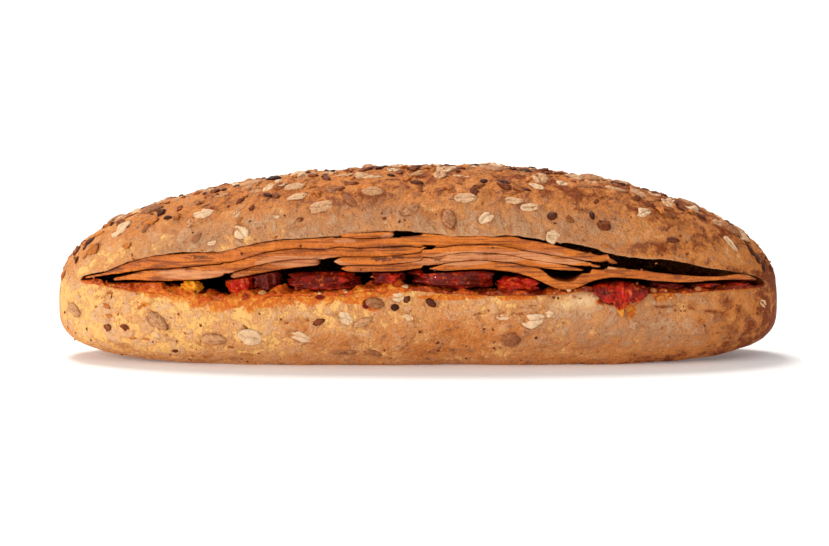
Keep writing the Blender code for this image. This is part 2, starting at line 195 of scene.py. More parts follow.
def tube_faces(rows: int, columns: int) -> Array:
    """Faces of a closed tube whose section is folded flat at both ends.

    The section's point k lies opposite point columns - 1 - k, so a strip between the pairs closes each end.

    Args:
        rows: Number of sections.
        columns: Even number of points in a section.
    Returns:
        Four indices a face.
    """
    half = np.arange(columns // 2 - 1)
    strip = np.stack((half, half + 1, columns - 2 - half, columns - 1 - half), -1)
    last = (rows - 1) * columns
    return np.concatenate((grid_faces(rows, columns, True), strip[:, ::-1], strip + last))


def capped_faces(rows: int, columns: int) -> Array:
    """Faces of a closed tube whose two ends are single points, stored after the grid.

    Args:
        rows: Number of sections.
        columns: Number of points in a section.
    Returns:
        Four indices a face; a triangle repeats its last.
    """
    around = np.arange(columns)
    beside = (around + 1) % columns
    first = np.full(columns, rows * columns)
    last = (rows - 1) * columns
    start = np.stack((first, beside, around, around), -1)
    end = np.stack((first + 1, last + around, last + beside, last + beside), -1)
    return np.concatenate((grid_faces(rows, columns, True), start, end))


def repeated(faces: Array, copies: int, count: int) -> Array:
    """The faces of a shape of count points, repeated for copies that follow each other."""
    return (faces[None] + (np.arange(copies) * count)[:, None, None]).reshape(-1, 4)


def surface(
    name: str, points: Array, faces: Array, material: bpy.types.Material, marks: dict[str, Array]
) -> bpy.types.Object:
    """Makes a mesh object of a worked-out surface, with its faces turned outwards.

    Args:
        name: The piece's name.
        points: Its points.
        faces: Four indices a face; a triangle repeats its last.
        material: The piece's material.
        marks: Values for each point that the material reads by name.
    Returns:
        The object, linked to the scene.
    """
    if signed_volume(points, faces) < 0:
        faces = faces[:, ::-1]
    keep = np.ones(faces.shape, bool)
    keep[:, 0], keep[:, 3] = faces[:, 0] != faces[:, 1], faces[:, 3] != faces[:, 2]
    corners = keep.sum(axis=1)
    mesh = bpy.data.meshes.new(name)
    mesh.vertices.add(len(points))
    mesh.vertices.foreach_set("co", np.ascontiguousarray(points, dtype=np.float32).ravel())
    mesh.loops.add(int(corners.sum()))
    mesh.loops.foreach_set("vertex_index", faces[keep].astype(np.int32))
    mesh.polygons.add(len(faces))
    mesh.polygons.foreach_set("loop_start", (np.cumsum(corners) - corners).astype(np.int32))
    mesh.update(calc_edges=True)
    for mark, values in marks.items():
        layer = mesh.attributes.new(mark, "FLOAT", "POINT")
        layer.data.foreach_set("value", np.ascontiguousarray(values, dtype=np.float32).ravel())
    mesh.shade_smooth()
    mesh.materials.append(material)
    piece = bpy.data.objects.new(name, mesh)
    bpy.context.scene.collection.objects.link(piece)
    return piece


def settled(piece: bpy.types.Object, slot: str, *nodes: str) -> None:
    """Rides a piece on the sandwich in place of its solids, and reports it.

    Args:
        piece: The new piece.
        slot: The record's material slot; not used.
        nodes: The solids that it stands for.
    """
    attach(piece, "root")
    if nodes:
        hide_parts(*nodes)
    LOG.info("%s: %d triangles", piece.name, len(piece.data.loops) - 2 * len(piece.data.polygons))


# Camera


@dataclass(frozen=True)
class Viewpoint:
    """The photograph's camera: where it stands, what it aims at and its lens."""

    aim: tuple[float, float, float] = (-0.0013, 0.0, 0.0301)
    distance: float = 0.95
    elevation: float = math.radians(6.0)
    lens: float = 113.0
    sensor: float = 36.0
    picture: tuple[int, int] = (829, 546)
    front: float = -0.0405

    def axes(self) -> tuple[Array, Array, Array]:
        """Unit vectors to the right, up and forwards in the picture."""
        rise, level = math.sin(self.elevation), math.cos(self.elevation)
        return np.array((1.0, 0, 0)), np.array((0, rise, level)), np.array((0, level, -rise))

    def place(self) -> Array:
        """Where the camera stands."""
        return np.array(self.aim) - self.distance * self.axes()[2]

    def focal(self) -> float:
        """Focal length in pixels."""
        return self.lens / self.sensor * self.picture[0]

    def column_row(self, points: Array) -> tuple[Array, Array]:
        """Projects points: the share along each picture axis, times the focal length over the distance.

        Args:
            points: Points in space.
        Returns:
            Their pixel columns and rows.
        """
        right, up, forward = self.axes()
        away = points - self.place()
        scale = self.focal() / (away @ forward)
        return self.picture[0] / 2 + away @ right * scale, self.picture[1] / 2 - away @ up * scale

    def on_front(self, columns: Array, rows: Array) -> tuple[Array, Array]:
        """Where the sight lines of pixels cross the upright plane along the roll's front.

        Args:
            columns: Pixel columns.
            rows: Pixel rows.
        Returns:
            The x and z of each crossing.
        """
        right, up, forward = self.axes()
        across = (np.asarray(columns, float) - self.picture[0] / 2) / self.focal()
        rise = (self.picture[1] / 2 - np.asarray(rows, float)) / self.focal()
        lines = forward + across[..., None] * right + rise[..., None] * up
        points = self.place() + lines * ((self.front - self.place()[1]) / lines[..., 1])[..., None]
        return points[..., 0], points[..., 2]

    def build(self) -> None:
        """Adds the camera and makes it the scene's own."""
        data = bpy.data.cameras.new("camera")
        data.lens, data.sensor_width = self.lens, self.sensor
        camera = bpy.data.objects.new("camera", data)
        camera.location = self.place()
        camera.rotation_euler = (math.pi / 2 - self.elevation, 0.0, 0.0)
        bpy.context.scene.collection.objects.link(camera)
        bpy.context.scene.camera = camera


VIEW = Viewpoint()


# The roll's form


@dataclass(frozen=True)
class Loaf:
    """The roll's outline, its slit and its relief, by the part's own formulas."""

    length: float = 0.262
    width: float = 0.084
    height: float = 0.0692
    tip_level: float = 0.0195
    belly_rise: float = 0.012
    crown_skew: float = 0.052
    lid_tilt: float = 0.07
    crown_bend: tuple[float, float] = (1.91, 0.40)
    keel_bend: tuple[float, float] = (5.0, 0.30)
    plan_bend: tuple[float, float] = (2.8, 0.5)
    upper_squareness: float = 2.4
    lower_squareness: float = 2.8
    base_sag: float = 0.004
    base_flattening: float = 0.0004
    lump_depth: float = 0.0007
    lump_size: float = 0.030
    lip_level: float = 0.0266
    lip_waves: tuple = (
        (-0.121, 0.016, 0.0022), (-0.070, 0.012, -0.0022), (-0.008, 0.018, 0.0022), (0.057, 0.008, 0.0012),
    )
    mouth: float = 0.0204
    mouth_ends: tuple[float, float] = (-0.1230, 0.1275)
    mouth_bend: tuple[float, float] = (3.0, 0.8)
    mouth_least: float = 0.0012
    mouth_waves: tuple = (
        (-0.112, 0.007, -0.0017), (0.036, 0.012, 0.0010), (0.072, 0.026, -0.0030), (0.101, 0.010, -0.0012),
    )
    back_wall: float = 0.013
    pocket_bend: tuple[float, float] = (8.0, 0.5)
    back_share: float = 0.66
    back_rounding: float = 0.9
    pocket_least: float = 0.004
    pocket_end_share: float = 0.2
    pocket_end: float = 0.86
    cutter_share: float = 0.985
    soaked_span: tuple = ((-0.104, -0.082), (0.002, -0.014))
    slit_fades: tuple[float, float] = (-0.1180, 0.1215)
    dimples: tuple[float, float] = (0.00042, 0.011)
    grit: tuple[float, float] = (0.00034, 0.0034)
    crags: tuple[float, float] = (0.00052, 0.0046)
    crag_levels: tuple[float, float] = (0.045, 0.066)
    crag_squash: tuple[float, float, float] = (1.0, 1.0, 1.6)
    front_span: tuple[float, float] = (0.0, -0.02)
    torn_crumb: tuple[float, float, float] = (0.0005, 0.0024, 0.0002)
    core_share: float = 0.97

    def along(self, x: Array, power: float, root: float = 1.0) -> Array:
        """The taper from the roll's middle to its tips."""
        return taper(x, (power, root), self.length / 2)

    def crown(self, x: Array) -> Array:
        """Height of the crown.

        Args:
            x: Places along the roll.
        Returns:
            Heights.
        """
        share = x / (self.length / 2)
        skew = 1.0 + self.crown_skew * share * (1.0 - share * share)
        return self.tip_level + (self.height - self.tip_level) * self.along(x, *self.crown_bend) * skew

    def keel(self, x: Array) -> Array:
        """Height of the base."""
        return np.maximum(0.0, self.tip_level * (1.0 - self.along(x, *self.keel_bend)) - self.base_flattening)

    def half_width(self, x: Array) -> Array:
        """Half the roll's width."""
        return self.width / 2 * self.along(x, *self.plan_bend)

    def belly(self, x: Array) -> Array:
        """Height of the widest level."""
        return self.tip_level + self.belly_rise * self.along(x, 2.0)

    def crust(self, x: Array, angle: Array) -> Array:
        """A point of the crust: a superellipse in polar form, tall above the belly and cut flat at the base.

        Its reach at an angle is (|cos| ** n + |sin| ** n) ** (-1 / n), its upper half tilts to the back, and
        broad lumps push it outwards.

        Args:
            x: Place along the roll.
            angle: 0 at the front, pi / 2 at the crown, pi at the back.
        Returns:
            The points.
        """
        x, angle = np.broadcast_arrays(x, angle)
        across, up = np.cos(angle), np.sin(angle)
        power = np.where(up > 0, self.upper_squareness, self.lower_squareness)
        reach = (np.abs(across) ** power + np.abs(up) ** power) ** (-1.0 / power)
        belly = self.belly(x)
        lid = self.crown(x) - belly
        bowl = belly - self.keel(x) + self.base_sag * self.along(x, 4.0)
        y = -self.half_width(x) * reach * across
        rise = np.where(up > 0, lid, bowl) * reach * up
        tilt = self.lid_tilt * y * np.clip(rise / np.maximum(lid, 1e-6), 0.0, None) * self.along(x, 2.0)
        z = belly + rise - tilt
        points = np.stack((x, y, z), -1)
        lump = self.lump_depth * noise(points / self.lump_size, 3) * self.along(x, 6.0)
        away = unit(np.stack((np.zeros_like(y), y, z - belly), -1))
        points = points + away * lump[..., None]
        points[..., 2] = np.maximum(points[..., 2], self.keel(x))
        return points

    def angle_at(self, x: Array, z: Array) -> Array:
        """The angle at which the front crust stands at a height, found by halving the range.

        Args:
            x: Places along the roll.
            z: Heights.
        Returns:
            The angles.
        """
        low, high = np.full_like(x, -math.pi / 2), np.full_like(x, math.pi / 2)
        for _ in range(34):
            middle = (low + high) / 2
            over = self.crust(x, middle)[..., 2] > z
            low, high = np.where(over, low, middle), np.where(over, middle, high)
        return (low + high) / 2

    def lip(self, x: Array) -> Array:
        """Height of the lower half's cut edge."""
        return self.lip_level + waves(x, self.lip_waves)

    def mouth_share(self, x: Array) -> Array:
        """How far x lies from the slit's middle, as a share of the way to its end."""
        return x / np.where(x < 0, self.mouth_ends[0], self.mouth_ends[1])

    def opening(self, x: Array) -> Array:
        """How far the slit stands open at the front."""
        height = self.mouth * taper(self.mouth_share(x), self.mouth_bend, 1.0) + waves(x, self.mouth_waves)
        return np.maximum(height, self.mouth_least)

    def pocket_depth(self, x: Array) -> Array:
        """How far the slit runs back from the front."""
        room = np.maximum(self.pocket_least, 2 * self.half_width(x) - self.back_wall)
        return room * np.maximum(self.pocket_end_share, taper(self.mouth_share(x), self.pocket_bend, 1.0))

    def pocket_height(self, x: Array, depth: Array) -> Array:
        """The slit's height, depth being 0 at the front and 1 at the back.

        Args:
            x: Places along the roll.
            depth: 0 at the mouth, 1 at the slit's back.
        Returns:
            Heights.
        """
        depth = np.clip(depth, 0.0, 1.0)
        late = np.clip((depth - self.pocket_end) / (1.0 - self.pocket_end), 0.0, 1.0)
        narrowing = 1.0 - depth * (1.0 - self.back_share)
        return self.opening(x) * narrowing * np.sqrt(1.0 - self.back_rounding * late**2)

    def pocket_floor(self, x: Array, depth: Array) -> Array:
        """Height of the lower cut face.

        Args:
            x: Places along the roll.
            depth: 0 at the mouth, 1 at the slit's back.
        Returns:
            Heights.
        """
        depth = np.clip(depth, 0.0, 1.0)
        full = self.opening(x) * (1.0 - depth * (1.0 - self.back_share))
        return self.lip(x) + (full - self.pocket_height(x, depth)) / 2

    def pocket_point(self, x: Array, depth: Array, z: Array) -> Array:
        """A point in the slit."""
        x, depth, z = np.broadcast_arrays(x, depth, z)
        return np.stack((x, depth * self.pocket_depth(x) - self.half_width(x), z), -1)

    def soaked(self, x: Array) -> Array:
        """How much sauce soaked the lower lip: most left of the middle."""
        left, right = self.soaked_span
        return smooth(x, *left) * smooth(x, *right)

    def in_slit(self, x: Array) -> Array:
        """1 along the slit, fading to 0 at its ends."""
        left, right = zip(self.mouth_ends, self.slit_fades)
        return smooth(x, *left) * smooth(x, *right)

    def relief(self, points: Array) -> Array:
        """How far the baked surface stands out: dimples, grit, a craggy crown, creases and a torn patch.

        Args:
            points: Points of the crust.
        Returns:
            Heights in metres along the outward direction.
        """
        x, y, z = np.moveaxis(points, -1, 0)
        height = self.dimples[0] * layered(points, self.dimples[1], 11, 2)
        height = height + self.grit[0] * layered(points, self.grit[1], 14, 3)
        crags = self.crags[0] * layered(points * self.crag_squash, self.crags[1], 17, 3)
        height += smooth(z, *self.crag_levels) * crags
        front = smooth(y, *self.front_span)
        for crease in CREASES:
            height += front * crease.profile(x, z)
        rise, size, sunk = self.torn_crumb
        height += torn_share(x, z) * front * (rise * layered(points, size, 21, 2) - sunk)
        return height * self.along(x, 14.0)

    def skin(self, x: Array, angle: Array) -> Array:
        """The crust with its relief, along the line from the belly.

        Args:
            x: Places along the roll.
            angle: Angles round the section.
        Returns:
            The points.
        """
        points = self.crust(x, angle)
        x = points[..., 0]
        middle = np.stack((x * self.core_share, np.zeros_like(x), self.belly(x)), -1)
        return points + unit(points - middle) * self.relief(points)[..., None]


@dataclass(frozen=True)
class Crease:
    """A groove in the baked crust, given by the pixels that it passes through."""

    columns: tuple[float, ...]
    rows: tuple[float, ...]
    depth: float
    breadth: float
    wander: float = 0.0007
    wander_length: float = 0.0045
    patch_length: float = 0.0060
    end_fade: tuple[float, float] = (0.001, 0.006)
    bank: tuple[float, float, float] = (0.55, 2.2, 2.4)
    full_depth: float = 0.0008

    def off_line(self, x: Array, z: Array) -> tuple[Array, Array]:
        """How far a place lies above the crease's wandering line, and the crease's strength there.

        Args:
            x: Places along the roll.
            z: Heights.
        Returns:
            Distances in metres, and strengths from 0 to 1 that fade out at both ends and come and go between.
        """
        line_x, line_z = VIEW.on_front(self.columns, self.rows)
        along = on_line(x, self.rows[0] * 0.01)
        off = z - np.interp(x, line_x, line_z) - self.wander * layered(along, self.wander_length, 18, 3)
        before, after = self.end_fade
        left = smooth(x, line_x[0] - before, line_x[0] + after)
        ends = left * smooth(x, line_x[-1] + before, line_x[-1] - after)
        return off, ends * smooth(noise(along / self.patch_length, 19), -0.50, 0.15)

    def profile(self, x: Array, z: Array) -> Array:
        """Heights of a bell-shaped groove with a softer rise above it.

        Args:
            x: Places along the roll.
            z: Heights.
        Returns:
            Heights in metres, below 0 in the groove.
        """
        off, strength = self.off_line(x, z)
        rise, middle, reach = self.bank
        bank = bell(off - middle * self.breadth, reach * self.breadth)
        return self.depth * strength * (rise * bank - bell(off, self.breadth))

    def shade(self, x: Array, z: Array) -> Array:
        """How far a place lies in the groove, from 0 to 1; the crust's finish paints shade in the groove by
        it.
        """
        off, strength = self.off_line(x, z)
        return strength * bell(off, self.breadth) * min(1.0, self.depth / self.full_depth)


CREASES = (
    Crease((376, 400, 430, 460, 489), (317, 321, 322, 323, 316), 0.0005, 0.0005),
    Crease((458, 480, 505, 525, 550), (317, 314, 316, 313, 303), 0.0008, 0.0006),
    Crease((498, 512, 526, 540, 552), (309, 308, 306, 304, 302), 0.0006, 0.0005),
    Crease((640, 662, 684, 704, 726, 748), (306, 309, 308, 314, 317, 317), 0.0011, 0.0006),
    Crease((690, 712, 735, 755), (341, 339, 339, 334), 0.0006, 0.0005),
    Crease((655, 672, 690, 706), (340, 338, 341, 340), 0.0004, 0.0005),
    Crease((560, 580, 600, 620), (350, 352, 349, 351), 0.0005, 0.0006),
    Crease((96, 130, 170, 215), (330, 331, 330, 333), 0.0002, 0.0006),
    Crease((300, 318, 334), (331, 336, 341), 0.0006, 0.0005),
    Crease((334, 352, 372, 392), (349, 348, 350, 353), 0.0006, 0.0007),
    Crease((226, 240, 262), (328, 326, 333), 0.0004, 0.0004),
    Crease((570, 590, 612), (296, 292, 301), 0.0004, 0.0005),
)
TORN_PIXELS = ((582, 303, 17, 8), (597, 299, 8, 6), (560, 307, 12, 5))


def pixel_share(x: Array, z: Array, spots: tuple) -> Array:
    """How deep a place lies in any of some oval spots: exp(-(distance / radius) ** 4), the largest of them.

    Args:
        x: Places along the roll.
        z: Heights.
        spots: Each spot's pixel column, row, half length and half height.
    Returns:
        Shares from 0 to 1.
    """
    share = np.zeros_like(x)
    for column, row, half_length, half_height in spots:
        spot_x, spot_z = VIEW.on_front((column, column + half_length), (row, row - half_height))
        across = (x - spot_x[0]) / (spot_x[1] - spot_x[0])
        rise = (z - spot_z[0]) / (spot_z[1] - spot_z[0])
        share = np.maximum(share, np.exp(-((across**2 + rise**2) ** 2)))
    return share


def torn_share(x: Array, z: Array) -> Array:
    """How much of the white crumb shows where the crust is torn below the lip."""
    return pixel_share(x, z, TORN_PIXELS)


LOAF = Loaf()


# Shader nodes


class Sock:
    """A shader socket that takes part in sums: each operator adds a Math node."""

    def __init__(self, maker: "Maker", socket: bpy.types.NodeSocket) -> None:
        """Wraps a socket of the maker's material."""
        self.maker, self.socket = maker, socket

    def maths(self, operation: str, *values: "Sock | float") -> "Sock":
        """One Math node on this socket and other values."""
        inputs = {0: self, **dict(enumerate(values, 1))}
        return self.maker.add("ShaderNodeMath", {"operation": operation}, inputs)

    def __add__(self, other: "Sock | float") -> "Sock":
        """Sum."""
        return self.maths("ADD", other)

    __radd__ = __add__

    def __mul__(self, other: "Sock | float") -> "Sock":
        """Product."""
        return self.maths("MULTIPLY", other)

    __rmul__ = __mul__

    def __sub__(self, other: "Sock | float") -> "Sock":
        """Difference."""
        return self.maths("SUBTRACT", other)

    def __rsub__(self, other: float) -> "Sock":
        """A number less this socket."""
        return (self * -1.0) + other

    def step(self, low: float, high: float) -> "Sock":
        """A smooth step from 0 at low to 1 at high; low may be the larger.

        Args:
            low: Where the step starts.
            high: Where it ends.
        Returns:
            The step's height.
        """
        settings = {"interpolation_type": "SMOOTHSTEP"}
        if low < high:
            return self.maker.add("ShaderNodeMapRange", settings, {0: self, 1: low, 2: high})
        return self.maker.add("ShaderNodeMapRange", settings, {0: self, 1: high, 2: low, 3: 1.0, 4: 0.0})

    def at_most(self, other: "Sock | float") -> "Sock":
        """The smaller of the two."""
        return self.maths("MINIMUM", other)

    def at_least(self, other: "Sock | float") -> "Sock":
        """The larger of the two."""
        return self.maths("MAXIMUM", other)


def paint(red: int, green: int, blue: int) -> Colour:
    """A colour as seen on screen, 0 to 255, made linear by the usual screen curve.

    Args:
        red: Red.
        green: Green.
        blue: Blue.
    Returns:
        The linear colour.
    """
    shares = (value / 255 for value in (red, green, blue))
    return tuple(share / 12.92 if share < 11 / 255 else ((share + 0.055) / 1.055) ** 2.4 for share in shares)


class Maker:
    """Builds one material: a Principled shader and the nodes that feed it."""

    def __init__(self, name: str, **constants: float) -> None:
        """Starts a material with the shader's unvarying values, such as coat or specular level.

        Args:
            name: The material's name.
            constants: Shader inputs, with _ for a space.
        """
        self.material = bpy.data.materials.new(name)
        self.material.use_nodes = True
        self.tree = self.material.node_tree
        self.shader = self.tree.nodes["Principled BSDF"]
        for label, value in constants.items():
            self.shader.inputs[label.replace("_", " ")].default_value = value
        self.place = self.add("ShaderNodeTexCoord", {}, {}, "Object")

    def add(self, kind: str, settings: dict, inputs: dict, output: int | str = 0) -> Sock:
        """Adds one node.

        Args:
            kind: The node's type.
            settings: Its own settings, set first.
            inputs: Values or sockets by input name or number.
            output: The output to return.
        Returns:
            That output, wrapped.
        """
        node = self.tree.nodes.new(kind)
        for label, value in settings.items():
            setattr(node, label, value)
        for label, value in inputs.items():
            self.feed(node.inputs[label], value)
        return Sock(self, node.outputs[output])

    def feed(self, socket: bpy.types.NodeSocket, value: "Sock | float | Colour") -> None:
        """Links a wrapped socket, or sets a number or a colour.

        Args:
            socket: The socket.
            value: What feeds it.
        """
        if isinstance(value, Sock):
            self.tree.links.new(value.socket, socket)
        elif isinstance(value, tuple) and socket.type == "RGBA":
            socket.default_value = (*value, 1.0)
        else:
            socket.default_value = value

    def mark(self, name: str) -> Sock:
        """A value stored at the piece's points."""
        return self.add("ShaderNodeAttribute", {"attribute_name": name}, {}, "Fac")

    def grain(
        self, size: float, detail: float = 3.0, stretch: Colour = (1.0, 1.0, 1.0), twist: float = 0.0
    ) -> Sock:
        """Noise of 0 to 1 whose features are about size metres across.

        Args:
            size: Feature size in metres.
            detail: Number of finer layers.
            stretch: How much longer the features are along each axis.
            twist: How far the pattern is warped.
        Returns:
            The noise's value.
        """
        scale = tuple(1.0 / (size * longer) for longer in stretch)
        where = self.add("ShaderNodeMapping", {}, {"Vector": self.place, "Scale": scale})
        inputs = {"Vector": where, "Scale": 1.0, "Detail": detail, "Distortion": twist}
        return self.add("ShaderNodeTexNoise", {}, inputs, "Fac")

    def cells(self, size: float) -> Sock:
        """Distance to the nearest of scattered points about size metres apart, in those units."""
        inputs = {"Vector": self.place, "Scale": 1.0 / size}
        return self.add("ShaderNodeTexVoronoi", {}, inputs, "Distance")

    def mix(self, share: "Sock | float", below: "Sock | Colour", above: "Sock | Colour") -> Sock:
        """Blends two colours."""
        inputs = {0: share, 6: below, 7: above}
        return self.add("ShaderNodeMix", {"data_type": "RGBA"}, inputs, 2)

    def finish(
        self, colour: Sock, roughness: "Sock | float", height: Sock, lift: float
    ) -> bpy.types.Material:
        """Feeds the shader.

        Args:
            colour: The base colour.
            roughness: The roughness.
            height: The bump's height, about 0 to 1.
            lift: How high a height of 1 stands, in metres.
        Returns:
            The finished material.
        """
        self.feed(self.shader.inputs["Base Color"], colour)
        self.feed(self.shader.inputs["Roughness"], roughness)
        bump = self.add("ShaderNodeBump", {}, {"Strength": 1.0, "Distance": lift, "Height": height})
        self.feed(self.shader.inputs["Normal"], bump)
        return self.material


# Finishes


@dataclass(frozen=True)
class CrustFinish:
    """Baked bread: cream to browned, greyish where floured, white at tears, orange where sauce soaked in, with
    painted shade in its browning, grey, red, creases and round seeds.
    """

    cream: Colour = paint(246, 190, 114)
    tan: Colour = paint(216, 150, 92)
    golden: Colour = paint(206, 126, 62)
    brown: Colour = paint(132, 60, 20)
    # Greyish flour colour, also used as painted shade.
    dusty_and_shaded: Colour = paint(186, 132, 92)
    flour: Colour = paint(238, 206, 164)
    smudged: Colour = paint(168, 96, 42)
    crumb: Colour = paint(232, 196, 148)
    orange: Colour = paint(208, 98, 20)
    # Yellow flecks in the sauce, partly painted highlight.
    yellow: Colour = paint(232, 150, 48)
    red: Colour = paint(112, 22, 6)

    def material(self) -> bpy.types.Material:
        """Builds the material from the roll's marks: browning and flour with painted shade, crumb, stain, red
        sauce with painted slit shade, painted crease shade and a painted shade ring round seeds.

        Returns:
            The material.
        """
        make = Maker("crust_finish", Specular_IOR_Level=0.12)
        broad, blotch = make.grain(0.016, 4.0, twist=0.6), make.grain(0.0045, 5.0, twist=0.5)
        middle, fine = make.grain(0.0019, 4.0, twist=0.4), make.grain(0.0008, 3.0)
        mottle = (broad - 0.5) * 1.1 + (blotch - 0.5) * 1.8 + (middle - 0.5) * 1.0 + (fine - 0.5) * 0.5
        # Browning, partly painted shade: lighter to the left, darker to the right and deep in the slit.
        toast_and_shade = make.mark("toast_and_shade") + mottle
        colour = make.mix(toast_and_shade.step(0.05, 0.38), self.cream, self.tan)
        colour = make.mix(toast_and_shade.step(0.32, 0.80), colour, self.golden)
        colour = make.mix(toast_and_shade.step(0.75, 1.35), colour, self.brown)
        # Greyish flour, partly painted shade: over the lid's front and low on the right.
        dust_and_shade = make.mark("dust_and_shade") * (blotch + broad).step(0.70, 1.10)
        colour = make.mix(dust_and_shade, colour, self.dusty_and_shaded)
        untoasted_unshaded = (1.30 - toast_and_shade).at_most(1.0).at_least(0.0)
        flour = (middle * 0.35 + blotch * 0.65).step(0.50, 0.60) * untoasted_unshaded * 0.60
        colour = make.mix(flour, colour, self.flour)
        smudge = make.grain(0.0052, 4.0, (1.4, 1.0, 1.0), 0.9).step(0.56, 0.68) * 0.5
        colour = make.mix(smudge, colour, self.smudged)
        flecks_and_shade = make.grain(0.0013, 2.0, twist=1.0).step(0.62, 0.72) * 0.6
        # Cracks: random lines plus painted shade in the creases' grooves.
        crack_and_crease_shade = (make.mark("crease") + (middle - 0.5) * 1.4 + (fine - 0.5) * 0.8).step(0.30, 1.10)
        flecks_and_shade = flecks_and_shade.at_least(crack_and_crease_shade * 0.80)
        pit = make.cells(0.0026).step(0.20, 0.04) * 0.5
        # Painted shade: a broken dark ring on the crust round each large seed.
        seed_ring_shade = make.mark("seed_ring_shade") * (middle * 0.6 + blotch * 0.4).step(0.42, 0.58) * 0.65
        colour = make.mix(flecks_and_shade.at_least(pit).at_least(seed_ring_shade), colour, self.brown)
        colour = make.mix(make.mark("crumb"), colour, make.mix(blotch.step(0.4, 0.7), self.crumb, self.tan))
        stain = (make.mark("stain") + (blotch - 0.5) * 1.3 + (middle - 0.5) * 0.8).step(0.30, 0.62)
        # Sauce: orange with yellow flecks that are partly painted highlight.
        sauce = make.mix((middle + fine * 0.5).step(0.72, 0.92), self.orange, self.yellow)
        colour = make.mix(stain * 0.92, colour, sauce)
        # Red: sauce spots on the front, and painted shade as dark red deep in the slit.
        red_and_slit_shade = (make.mark("red_and_slit_shade") + (blotch - 0.5) * 0.9 + (middle - 0.5) * 0.5).step(0.32, 0.66)
        colour = make.mix(red_and_slit_shade, colour, self.red)
        height = blotch * 0.44 + middle * 0.36 + fine * 0.20 - crack_and_crease_shade * 0.10
        return make.finish(colour, 0.68 - (stain + red_and_slit_shade).at_most(1.0) * 0.3, height, 0.0030)


@dataclass(frozen=True)
class SeedFinish:
    """A seed or flake: pale to deep by its shade, darker at the rim and in its crease; the rim is partly the
    seed's brown edge and partly painted shade, and the crease's darkening is painted shade.
    """

    name: str
    pale: Colour
    deep: Colour
    rim: Colour
    roughness: float = 0.55
    streak: float = 0.35
    rim_share: float = 0.6

    def material(self) -> bpy.types.Material:
        """Builds the material from the marks shade, rim and groove of the seeds' points.

        Returns:
            The material.
        """
        make = Maker(self.name, Specular_IOR_Level=0.15)
        shade = make.mark("shade")
        streaks = make.grain(0.0011, 3.0, twist=0.8)
        colour = make.mix((shade + (streaks - 0.5) * self.streak).step(0.0, 1.0), self.pale, self.deep)
        # Painted shade in the groove and round the rim, partly the seed's brown edge at the rim.
        edge = (make.mark("rim") * 0.8 + make.mark("groove") * 0.7 + (streaks - 0.5) * 0.6).step(0.35, 1.0)
        colour = make.mix(edge * self.rim_share, colour, self.rim)
        height = streaks * 0.7 + make.grain(0.0005, 2.0) * 0.3
        return make.finish(colour, self.roughness, height, 0.0009)


@dataclass(frozen=True)
class MeatFinish:
    """Cooked meat: browned orange-tan edges streaked along the slice, pale pinkish flesh where it shows."""

    flesh: Colour = paint(220, 150, 98)
    pink: Colour = paint(188, 108, 60)
    rim: Colour = paint(218, 120, 32)
    tan: Colour = paint(188, 94, 24)
    seared: Colour = paint(122, 54, 14)
    dark: Colour = paint(78, 34, 12)

    def material(self) -> bpy.types.Material:
        """Builds the material from the marks rim, edge, pale and char of the slices' points; the edge mark is
        partly painted shade.

        Returns:
            The material.
        """
        make = Maker("meat_finish", Specular_IOR_Level=0.3, Coat_Weight=0.06, Coat_Roughness=0.4)
        fibres = make.grain(0.00060, 3.0, (26.0, 3.0, 1.0), 0.15)
        bands = make.grain(0.0011, 3.0, (22.0, 3.0, 1.0), 0.3)
        blotch, fine = make.grain(0.006, 4.0, (3.0, 1.0, 0.5), 0.6), make.grain(0.0008, 3.0)
        flesh = make.mix((fibres * 0.7 + blotch * 0.3).step(0.40, 0.66), self.flesh, self.pink)
        rim = make.mix((blotch * 0.6 + fine * 0.4).step(0.40, 0.62), self.rim, self.tan)
        # The streaks darken near the top and bottom of each edge: browned skin at the top, painted shade at
        # the bottom.
        streak = (fibres * 0.5 + bands * 0.5 + make.mark("edge") * 0.07).step(0.47, 0.62)
        rim = make.mix(streak * 0.85, rim, self.seared)
        under = (0.6 - make.mark("rim")).at_least(0.0) * 0.55
        uneven = (blotch - 0.5) * 0.8 + (fibres - 0.5) * 0.4
        pale = (make.mark("pale") * 1.1 + under + uneven).step(0.35, 0.62)
        colour = make.mix(pale * 0.9, rim, flesh)
        char = (make.mark("char") + (fine - 0.5) * 1.4 + (fibres - 0.5) * 0.8).step(0.36, 0.80) * 0.8
        spots = make.grain(0.0026, 4.0, (5.0, 1.0, 0.3), 0.6).step(0.62, 0.72) * 0.6
        colour = make.mix(char.at_least(spots), colour, self.dark)
        height = fibres * 0.5 + bands * 0.2 + fine * 0.3
        return make.finish(colour, 0.48 + (fine - 0.5) * 0.2, height, 0.0010)


@dataclass(frozen=True)
class TomatoFinish:
    """Oily dried tomato: brown-red skin, bright red flesh and orange spots, all wet."""

    name: str = "tomato_finish"
    skin: Colour = paint(100, 19, 5)
    red: Colour = paint(190, 30, 6)
    orange: Colour = paint(220, 92, 14)
    peel: Colour = paint(232, 150, 50)

    def material(self) -> bpy.types.Material:
        """Builds the material from the mark bright of the pieces' points.

        Returns:
            The material.
        """
        make = Maker(self.name, Specular_IOR_Level=0.12, Coat_Weight=0.20, Coat_Roughness=0.05)
        patch, wrinkle = make.grain(0.0040, 4.0, twist=1.2), make.grain(0.0012, 4.0, twist=0.8)
        red = (make.mark("bright") + (patch - 0.5) * 1.9 + (wrinkle - 0.5) * 1.0).step(0.15, 0.85)
        colour = make.mix(red, self.skin, self.red)
        spots = (make.grain(0.0020, 3.0, twist=0.6) + make.mark("bright") * 0.12).step(0.62, 0.74)
        colour = make.mix(spots * 0.8, colour, self.orange)
        colour = make.mix((make.mark("peel") + (patch - 0.5) * 1.2).step(0.35, 0.6), colour, self.peel)
        return make.finish(colour, 0.5, wrinkle * 0.6 + patch * 0.4, 0.0012)


